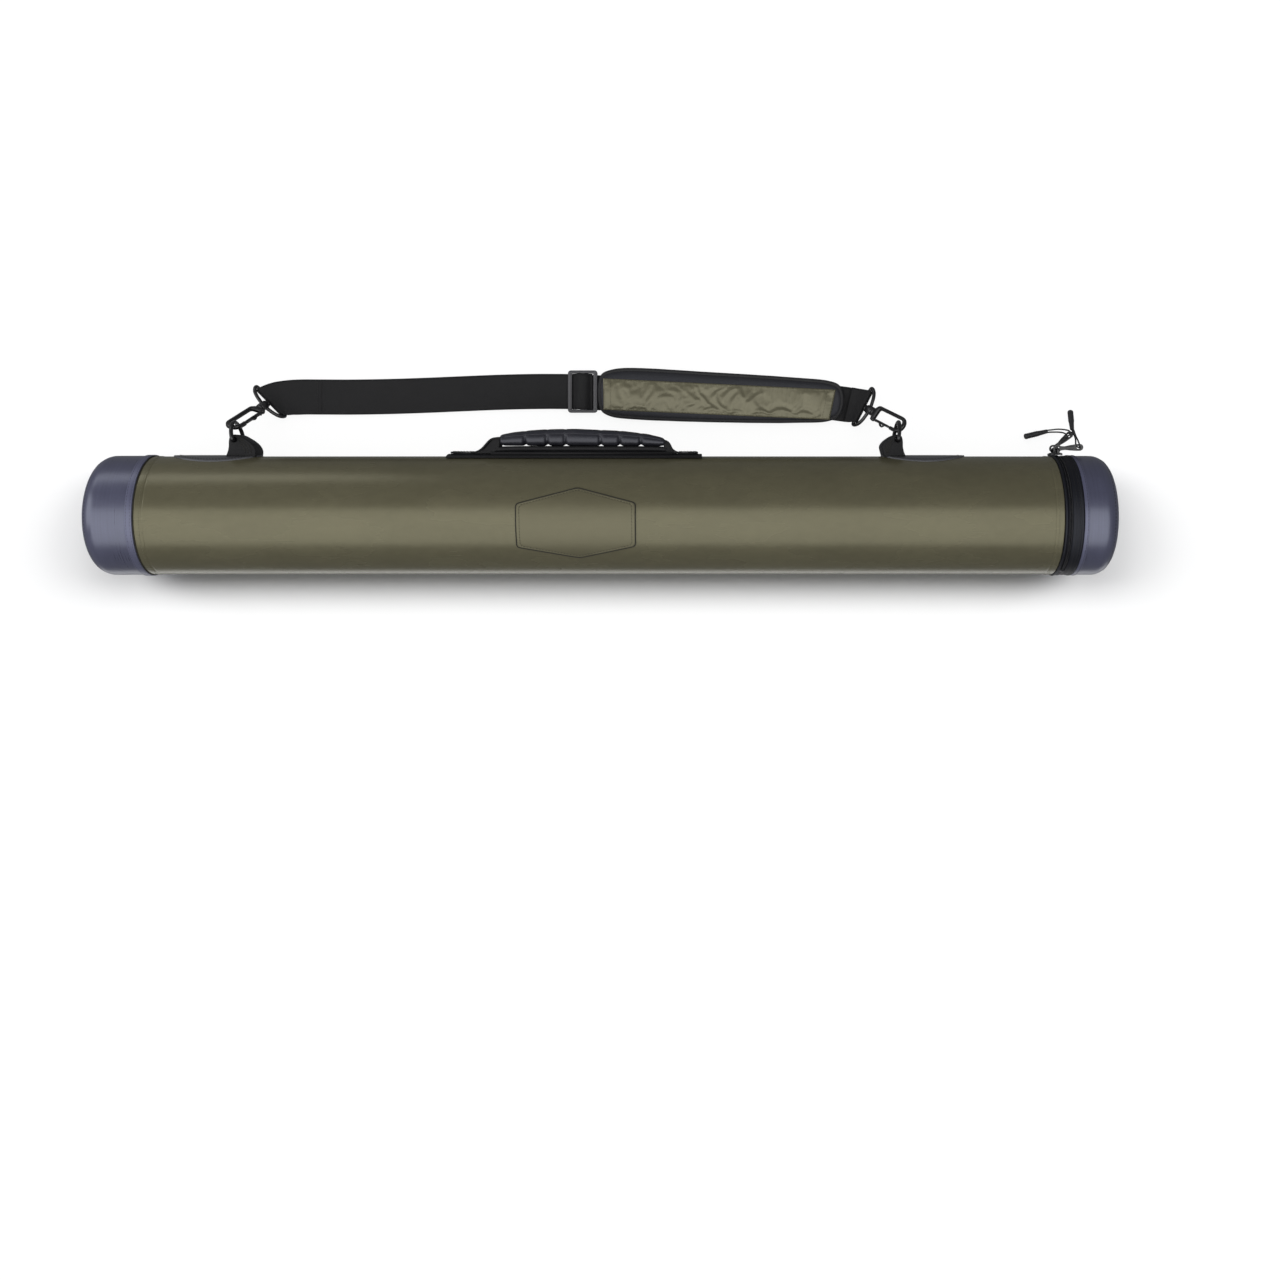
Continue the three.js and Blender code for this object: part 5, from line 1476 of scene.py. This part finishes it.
def dense_stations(st, per=7):
    c = catmull([q[0] for q in st], per)
    out = []
    for i in range(len(st) - 1):
        for k in range(per):
            t = k / per
            t = t * t * (3 - 2 * t)
            out.append((c[i * per + k], unit(st[i][1] * (1 - t) + st[i + 1][1] * t), unit(st[i][2] * (1 - t) + st[i + 1][2] * t)))
    out.append((c[-1], st[-1][1], st[-1][2]))
    return out


ds = dense_stations(S)
sag = smooth_noise(61, 0.035)
ds2 = []
for c, a, nn in ds:
    lift = 0.0
    if nn[2] > 0.95 and -300 < c[0] < -60:       # the return layer floats a little off the lower one
        lift = 0.16 * (0.5 + 0.5 * float(sag(c[0], 3.0))) * min(1, (c[0] + 300) / 30, (-60 - c[0]) / 30)
    ds2.append((c + zv * lift, a, nn))
v, f, t = ribbon(ds2, 18.4, 1.5, 17, 0.5)
place(weld(obj_from("strap_band", v, f, "webbing", t)), "strap", ["strap_webbing"])

s = Soup()


def flat_stitch(pts, nrm=(0, 0, 1), pitch=3.0, run=2.3, rad_=0.27, lift=0.1):
    q = stitch_row(resample(np.array(pts, float), step=0.3), nrm, pitch, run, rad_, lift, False, 5)
    s.add(np.concatenate(q.v), q.f, np.concatenate(q.uv))


# bar tacks that close the webbing round the left eye
for x in (-300.0, -304.0):
    flat_stitch([(x, 106.5, UP + 0.95), (x, 138.3, UP + 0.95)], pitch=1.8, run=1.5, rad_=0.3)
place(s.make("strap_tacks", "black_thread"), "strap", ())

# ---------------------------------------------------------------- adjuster
def rrect(x0, x1, y0, y1, r, n=6):
    p = []
    for cx, cy, a in ((x1 - r, y1 - r, 0), (x0 + r, y1 - r, 90), (x0 + r, y0 + r, 180), (x1 - r, y0 + r, 270)):
        p += arc2(cx, cy, r, a, a + 90, n)
    return p


AM = basis(X3, Y3, Z3, (-25.6, 127.9, UP + 2.7))
s = Soup()
s.add(*from_curve("adj", [rrect(-15.5, 15.5, -22.2, 22.2, 3.2), rrect(-11, -2, -19, 19, 1.0, 4), rrect(2, 11, -19, 19, 1.0, 4)], 1.4, 1.05, "plastic", AM, 4))
for xx in (-13.2, 13.2):                       # round rails along the outer bars
    s.add(*sweep(local([(xx, y, 0.55) for y in np.linspace(-18.5, 18.5, 20)], AM), 1.25, 12, False))
place(weld(s.make("adjuster_frame", "plastic"), angle=50), "adjuster", ["strap_adjuster"])
hump = [(-10.2, UP + 0.95 + 0.75), (-8.2, UP + 2.1), (-5.0, UP + 4.2), (-2.5, UP + 5.3), (0, UP + 5.55), (2.5, UP + 5.3), (5.0, UP + 4.2), (8.2, UP + 2.1), (10.2, UP + 0.95 + 0.75)]
hp_ = resample(catmull([(-25.6 + x, 127.9, z) for x, z in hump], 6), step=0.7)
tg = np.gradient(hp_, axis=0)
tg /= np.linalg.norm(tg, axis=1)[:, None]
v, f, t = ribbon([(p, yv, (-q[2], 0, q[0])) for p, q in zip(hp_, tg)], 18.85, 1.35, 13, 0.5, False, 0.0, 3.0)
place(weld(obj_from("adjuster_webbing", v, f, "webbing", t)), "adjuster", ())

# ------------------------------------------------------------ shoulder pad
PAD = [(-5, 106.5), (4, 101.8), (20, 99.4), (110, 95.8), (200, 95.2), (232, 97), (243, 102.5), (247, 112), (247.5, 124), (243, 134.5), (232, 139),
       (200, 142.2), (110, 148), (20, 152.5), (4, 150.6), (-5, 146.8), (-8.6, 140), (-8.6, 114)]
ZB, ZT = -58.7, -49.35
po = resample(catmull([(x, y, 0) for x, y in PAD], 8, True), count=420, closed=True)[:, :2]
if np.sum(po[:, 0] * np.roll(po[:, 1], -1) - np.roll(po[:, 0], -1) * po[:, 1]) < 0:
    po = po[::-1]


def inward(o2, d):
    """The outline moved in by d along its normals."""
    tg = np.roll(o2, -1, 0) - np.roll(o2, 1, 0)
    tg /= np.linalg.norm(tg, axis=1)[:, None]
    return o2 + np.stack([-tg[:, 1], tg[:, 0]], -1) * d


pad_wave, pad_wave2 = smooth_noise(71, 0.06), smooth_noise(73, 0.16)
rows, uvs = [], []
mid_y = lambda x: np.interp(x, [-8, 247], [126.5, 117.8])


def shrink_to_line(o2, k):
    """Moves an outline towards the pad's long middle line."""
    my = mid_y(o2[:, 0])
    xm = np.clip(o2[:, 0], 6, 232)
    return np.stack([o2[:, 0] + (xm - o2[:, 0]) * k, o2[:, 1] + (my - o2[:, 1]) * k], -1)


base_in = inward(po, 2.2)
layers = [("b", 0.96), ("b", 0.8), ("b", 0.5), ("b", 0.25), ("b", 0.08), ("b", 0.0), ("m", 0.0), ("t", 0.0), ("t", 0.05), ("t", 0.10), ("t", 0.16), ("t", 0.24), ("t", 0.34), ("t", 0.46), ("t", 0.6), ("t", 0.75), ("t", 0.88), ("t", 0.97)]
for kind, k in layers:
    q2 = shrink_to_line(base_in, k)
    x, y = q2[:, 0], q2[:, 1]
    if kind == "t":
        puff_ = 1.0 - (1.0 - min(1.0, k / 0.30)) ** 2
        z = -52.6 + 2.1 * puff_ + 0.10 * pad_wave(x, y) * puff_
    elif kind == "b":
        z = -57.6 - 0.9 * (1 - (1 - min(1.0, k / 0.25)) ** 2) + 0.0 * x
    else:
        z = np.full(len(x), -55.0)
    rows.append(np.stack([x, y, z + 0 * x], -1))
    uvs.append(q2 * MM)
rows = np.array(rows)
uv = np.array(uvs)
uv = np.concatenate([uv, uv[:, :1]], 1)
v, f, t = grid(rows, False, True, uv)
m = len(po)


def zip_close(start, flipit):
    """Closes the slit left along the middle line with quads between opposite sides."""
    ids = list(range(start, start + m))
    i0 = int(np.argmin(rows[0 if start == 0 else -1][:, 0]))
    fs = []
    for k in range(m // 2 - 1):
        a, b = (i0 + k) % m, (i0 + k + 1) % m
        c, d = (i0 - k - 1) % m, (i0 - k) % m
        q = (ids[a], ids[b], ids[c], ids[d])
        q = tuple(dict.fromkeys(q))
        if len(q) >= 3:
            fs.append(q[::-1] if flipit else q)
    return fs


extra = zip_close(0, False) + zip_close(len(v) - m, True)
t = list(t)
for q in extra:
    t += [(v[i][0] * MM, v[i][1] * MM) for i in q]
cushion = weld(obj_from("pad_cushion", v, list(f) + extra, "pad_black", t))
place(cushion, "strap", ["shoulder_pad"])

# bound edge: a tape folded round the pad's rim, stitched through
bi = inward(po, 2.1)
ring = np.stack([bi[:, 0], bi[:, 1], np.full(len(bi), -54.5)], -1)
tgr = np.roll(ring, -1, 0) - np.roll(ring, 1, 0)
tgr /= np.linalg.norm(tgr, axis=1)[:, None]
inn = np.stack([-tgr[:, 1], tgr[:, 0], np.zeros(len(ring))], -1)
sec_a = np.linspace(0, 2 * PI, 22, endpoint=False)
n_ = 2 / 2.8
cs_, sn_ = np.sign(np.cos(sec_a)) * np.abs(np.cos(sec_a)) ** n_, np.sign(np.sin(sec_a)) * np.abs(np.sin(sec_a)) ** n_
puck_ = 0.10 * pad_wave2(ring[:, 0] * 2.2, ring[:, 1] * 2.2)
pos = ring[:, None, :] + inn[:, None, :] * (-(2.25 + puck_)[:, None, None] * cs_[None, :, None]) + np.array([0, 0, 1.0]) * ((3.25 + puck_)[:, None, None] * sn_[None, :, None])
dd = np.concatenate([[0], np.cumsum(np.linalg.norm(np.diff(np.vstack([ring, ring[:1]]), axis=0), axis=1))])
uvb = np.stack(np.meshgrid(dd * MM, np.append(sec_a, 2 * PI) * 2.7 * MM, indexing="ij"), -1)
v, f, t = grid(pos, True, True, uvb)
place(weld(obj_from("pad_edge_tape", v, f, "webbing_fine", t)), "strap", ["pad_binding"])
s = Soup()
b2 = inward(po, 3.2)
q = stitch_row(resample(np.stack([b2[:, 0], b2[:, 1], np.full(len(b2), -51.75)], -1), count=2400, closed=True), (0, 0, 1), 3.2, 2.4, 0.26, 0.16, True, 5)
s.add(np.concatenate(q.v), q.f, np.concatenate(q.uv))
place(s.make("pad_edge_stitches", "black_thread"), "strap", ())

# olive satin panel, sewn down round its edge and puckered by the seam
QA, QB, QC, QD = A3(-3.4, 108.6, 0), A3(232.6, 98.2, 0), A3(239.0, 129.6, 0), A3(-4.0, 141.4, 0)
NU, NV = 150, 26
uu, vv = np.meshgrid(np.linspace(0, 1, NU), np.linspace(0, 1, NV), indexing="ij")
flat = (QA * ((1 - uu) * (1 - vv))[..., None] + QB * (uu * (1 - vv))[..., None] + QC * (uu * vv)[..., None] + QD * ((1 - uu) * vv)[..., None])
w_edge = np.minimum(1, np.minimum(np.minimum(vv, 1 - vv) * 33 / 4.5, np.minimum(uu, 1 - uu) * 238 / 4.5))
w_edge = w_edge * w_edge * (3 - 2 * w_edge)
rng = np.random.RandomState(7)
relief = np.zeros_like(uu)
wx = flat[..., 0]
wy = (vv - 0.5) * 33
# crossing folds over the middle of the panel, strongest right of centre
for cx, cy, ang, ln, wd, am in ((97, 4, -52, 9, 2.2, 0.55), (104, -4, -46, 8, 2.1, 0.8), (112, 4, 54, 9, 2.2, 0.9), (116, -4, -60, 8, 2.0, 0.9), (123, 3, 64, 9, 2.5, 0.6), (131, -2, 72, 9, 2.3, 0.85),
                                (140, 5, -58, 8, 2.4, 0.5), (147, -3, 62, 10, 2.3, 0.85), (154, 4, 46, 8, 2.2, 0.5), (108, -11, 8, 9, 2.0, 0.6), (134, -12, 6, 9, 2.0, 0.5), (158, -11, 10, 9, 2.0, 0.55),
                                (84, -8, 20, 12, 2.6, 0.3), (60, 8, 8, 16, 3.0, 0.22), (180, -9, 8, 14, 2.8, 0.30), (30, -11, 5, 14, 2.4, 0.28), (205, -11, 4, 14, 2.4, 0.3), (20, 9, -8, 12, 2.6, 0.2)):
    a_ = math.radians(ang)
    la = (wx - cx) * math.cos(a_) + (wy - cy) * math.sin(a_)
    lb = -(wx - cx) * math.sin(a_) + (wy - cy) * math.cos(a_) + 0.03 * la * la * (1 if ang > 0 else -1)
    relief += am * np.exp(-(la / ln) ** 2) * (np.exp(-(lb / wd) ** 2) - 0.55 * np.exp(-((lb - 1.7 * wd) / wd) ** 2))
pucker = 0.30 * np.sin(wx * 2 * PI / 5.3 + 0.8 * np.sin(wx * 0.21)) * np.exp(-np.minimum(vv, 1 - vv) * 33 / 2.6)
crown = 0.9 * (1 - (2 * vv - 1) ** 2)
relief = np.where(relief < 0, -0.30 * np.tanh(-relief / 0.30), relief)      # valleys stay clear of the padding
zpan = -49.75 + (crown + 1.0 * relief) * w_edge + pucker * (1 - 0.5 * w_edge) + 0.12 * pad_wave(wx, wy) * w_edge
for xs_ in (4.2, 226.5):                        # stitched line across each end
    along_x = wx - (wy * 0.18 * (1 if xs_ > 100 else 0))
    zpan -= 0.5 * np.exp(-((along_x - xs_) / 0.8) ** 2)
top_s = flat + np.stack([0 * zpan, 0 * zpan, zpan], -1)


def relax_cloth(points, closed_pin, frames=14, grow=0.02, pressure=0.35, cap_mm=1.0):
    """Cloth simulation on the sheet with its edge held. Returns the moved points, none further than the cap."""
    n, m_ = points.shape[:2]
    v_, f_, _ = grid(points)
    me = bpy.data.meshes.new("sim")
    me.from_pydata(to_row(v_).tolist(), [], f_)
    o = bpy.data.objects.new("sim", me)
    scene.collection.objects.link(o)
    g = o.vertex_groups.new(name="pin")
    g.add([int(i) for i in np.nonzero(closed_pin.reshape(-1))[0]], 1.0, "REPLACE")
    md = o.modifiers.new("Cloth", "CLOTH")
    cs = md.settings
    cs.quality = 6
    cs.mass = 0.15
    cs.tension_stiffness = 12
    cs.compression_stiffness = 12
    cs.shear_stiffness = 4
    cs.bending_stiffness = 0.08
    cs.vertex_group_mass = "pin"
    cs.shrink_min = -grow
    cs.use_pressure = True
    cs.uniform_pressure_force = pressure
    cs.effector_weights.gravity = 0
    md.point_cache.frame_start, md.point_cache.frame_end = 1, frames
    for fr in range(1, frames + 1):
        scene.frame_set(fr)
    e = o.evaluated_get(bpy.context.evaluated_depsgraph_get())
    got = np.array([q.co for q in e.data.vertices], float)
    scene.frame_set(1)
    bpy.data.objects.remove(o)
    bpy.data.meshes.remove(me)
    start = to_row(v_)
    if got.shape != start.shape or not np.isfinite(got).all():
        return points
    d = (got - start) / MM
    ln = np.linalg.norm(d, axis=1)
    d *= np.minimum(1, cap_mm / np.maximum(ln, 1e-9))[:, None]
    return (v_ + d).reshape(points.shape)


pin = np.zeros((NU, NV), bool)
pin[0], pin[-1], pin[:, 0], pin[:, -1] = True, True, True, True
top_s = relax_cloth(top_s, pin)
flat_u, flat_v = uu * 236 * MM, (vv * 33) * MM
uvp = np.stack([flat_u, flat_v], -1)
under = top_s.copy()
under[..., 2] -= 0.45
s = Soup()
v0, f0, t0 = grid(top_s, uv=uvp)
v1, f1, t1 = grid(under, uv=uvp, flip=True)
off = len(v0)
rim = [(i, 0) for i in range(NU)] + [(NU - 1, j) for j in range(1, NV)] + [(i, NV - 1) for i in range(NU - 2, -1, -1)] + [(0, j) for j in range(NV - 2, 0, -1)]
ids = [i * NV + j for i, j in rim]
sidef = [(ids[k], ids[k] + off, ids[(k + 1) % len(ids)] + off, ids[(k + 1) % len(ids)]) for k in range(len(ids))]
panel = weld(obj_from("pad_top_panel", np.vstack([v0, v1]), f0 + [tuple(i + off for i in q) for q in f1] + sidef, "olive_satin", list(t0) + list(t1) + [(0, 0)] * (4 * len(sidef))))
place(panel, "strap", ["pad_panel"])


def panel_at(u_, v_):
    i = np.clip(np.asarray(u_) * (NU - 1), 0, NU - 1)
    j = np.clip(np.asarray(v_) * (NV - 1), 0, NV - 1)
    i0, j0 = np.minimum(i.astype(int), NU - 2), np.minimum(j.astype(int), NV - 2)
    fi, fj = (i - i0)[:, None], (j - j0)[:, None]
    return top_s[i0, j0] * (1 - fi) * (1 - fj) + top_s[i0 + 1, j0] * fi * (1 - fj) + top_s[i0, j0 + 1] * (1 - fi) * fj + top_s[i0 + 1, j0 + 1] * fi * fj


s = Soup()
ev = 1.3 / 33
eu = 1.3 / 238
tt_ = np.linspace(eu, 1 - eu, 900)
for line in (panel_at(tt_, np.full(900, ev)), panel_at(tt_, np.full(900, 1 - ev)), panel_at(np.full(120, eu), np.linspace(ev, 1 - ev, 120)), panel_at(np.full(120, 1 - eu), np.linspace(ev, 1 - ev, 120)),
             panel_at(np.full(120, 7.6 / 238), np.linspace(0.02, 0.98, 120)), panel_at(np.full(120, 1 - 8.2 / 238), np.linspace(0.02, 0.98, 120))):
    q = stitch_row(resample(line, step=0.35), (0, 0, 1), 3.0, 2.2, 0.24, 0.08, False, 5)
    s.add(np.concatenate(q.v), q.f, np.concatenate(q.uv))
place(s.make("pad_panel_stitches", "olive_thread"), "strap", ())

# ------------------------------------------------------------- end of scene
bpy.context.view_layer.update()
# the floor's own light is shaded by the tube alone, so that the strap and handle leave no marks on the white
open_to_light = bpy.data.collections.new("open_to_floor_light")
for o in list(scene.objects):
    if o.type == "MESH" and o.name.startswith(("strap_", "pad_", "hook_", "gate_", "eye_", "adjuster", "d_ring", "ring_loop", "handle_", "grip_", "slider_", "tab_", "pull_grip", "cord_")):
        open_to_light.objects.link(o)
for item in open_to_light.collection_objects:
    item.light_linking.link_state = "EXCLUDE"
for o in suns:
    o.light_linking.blocker_collection = open_to_light
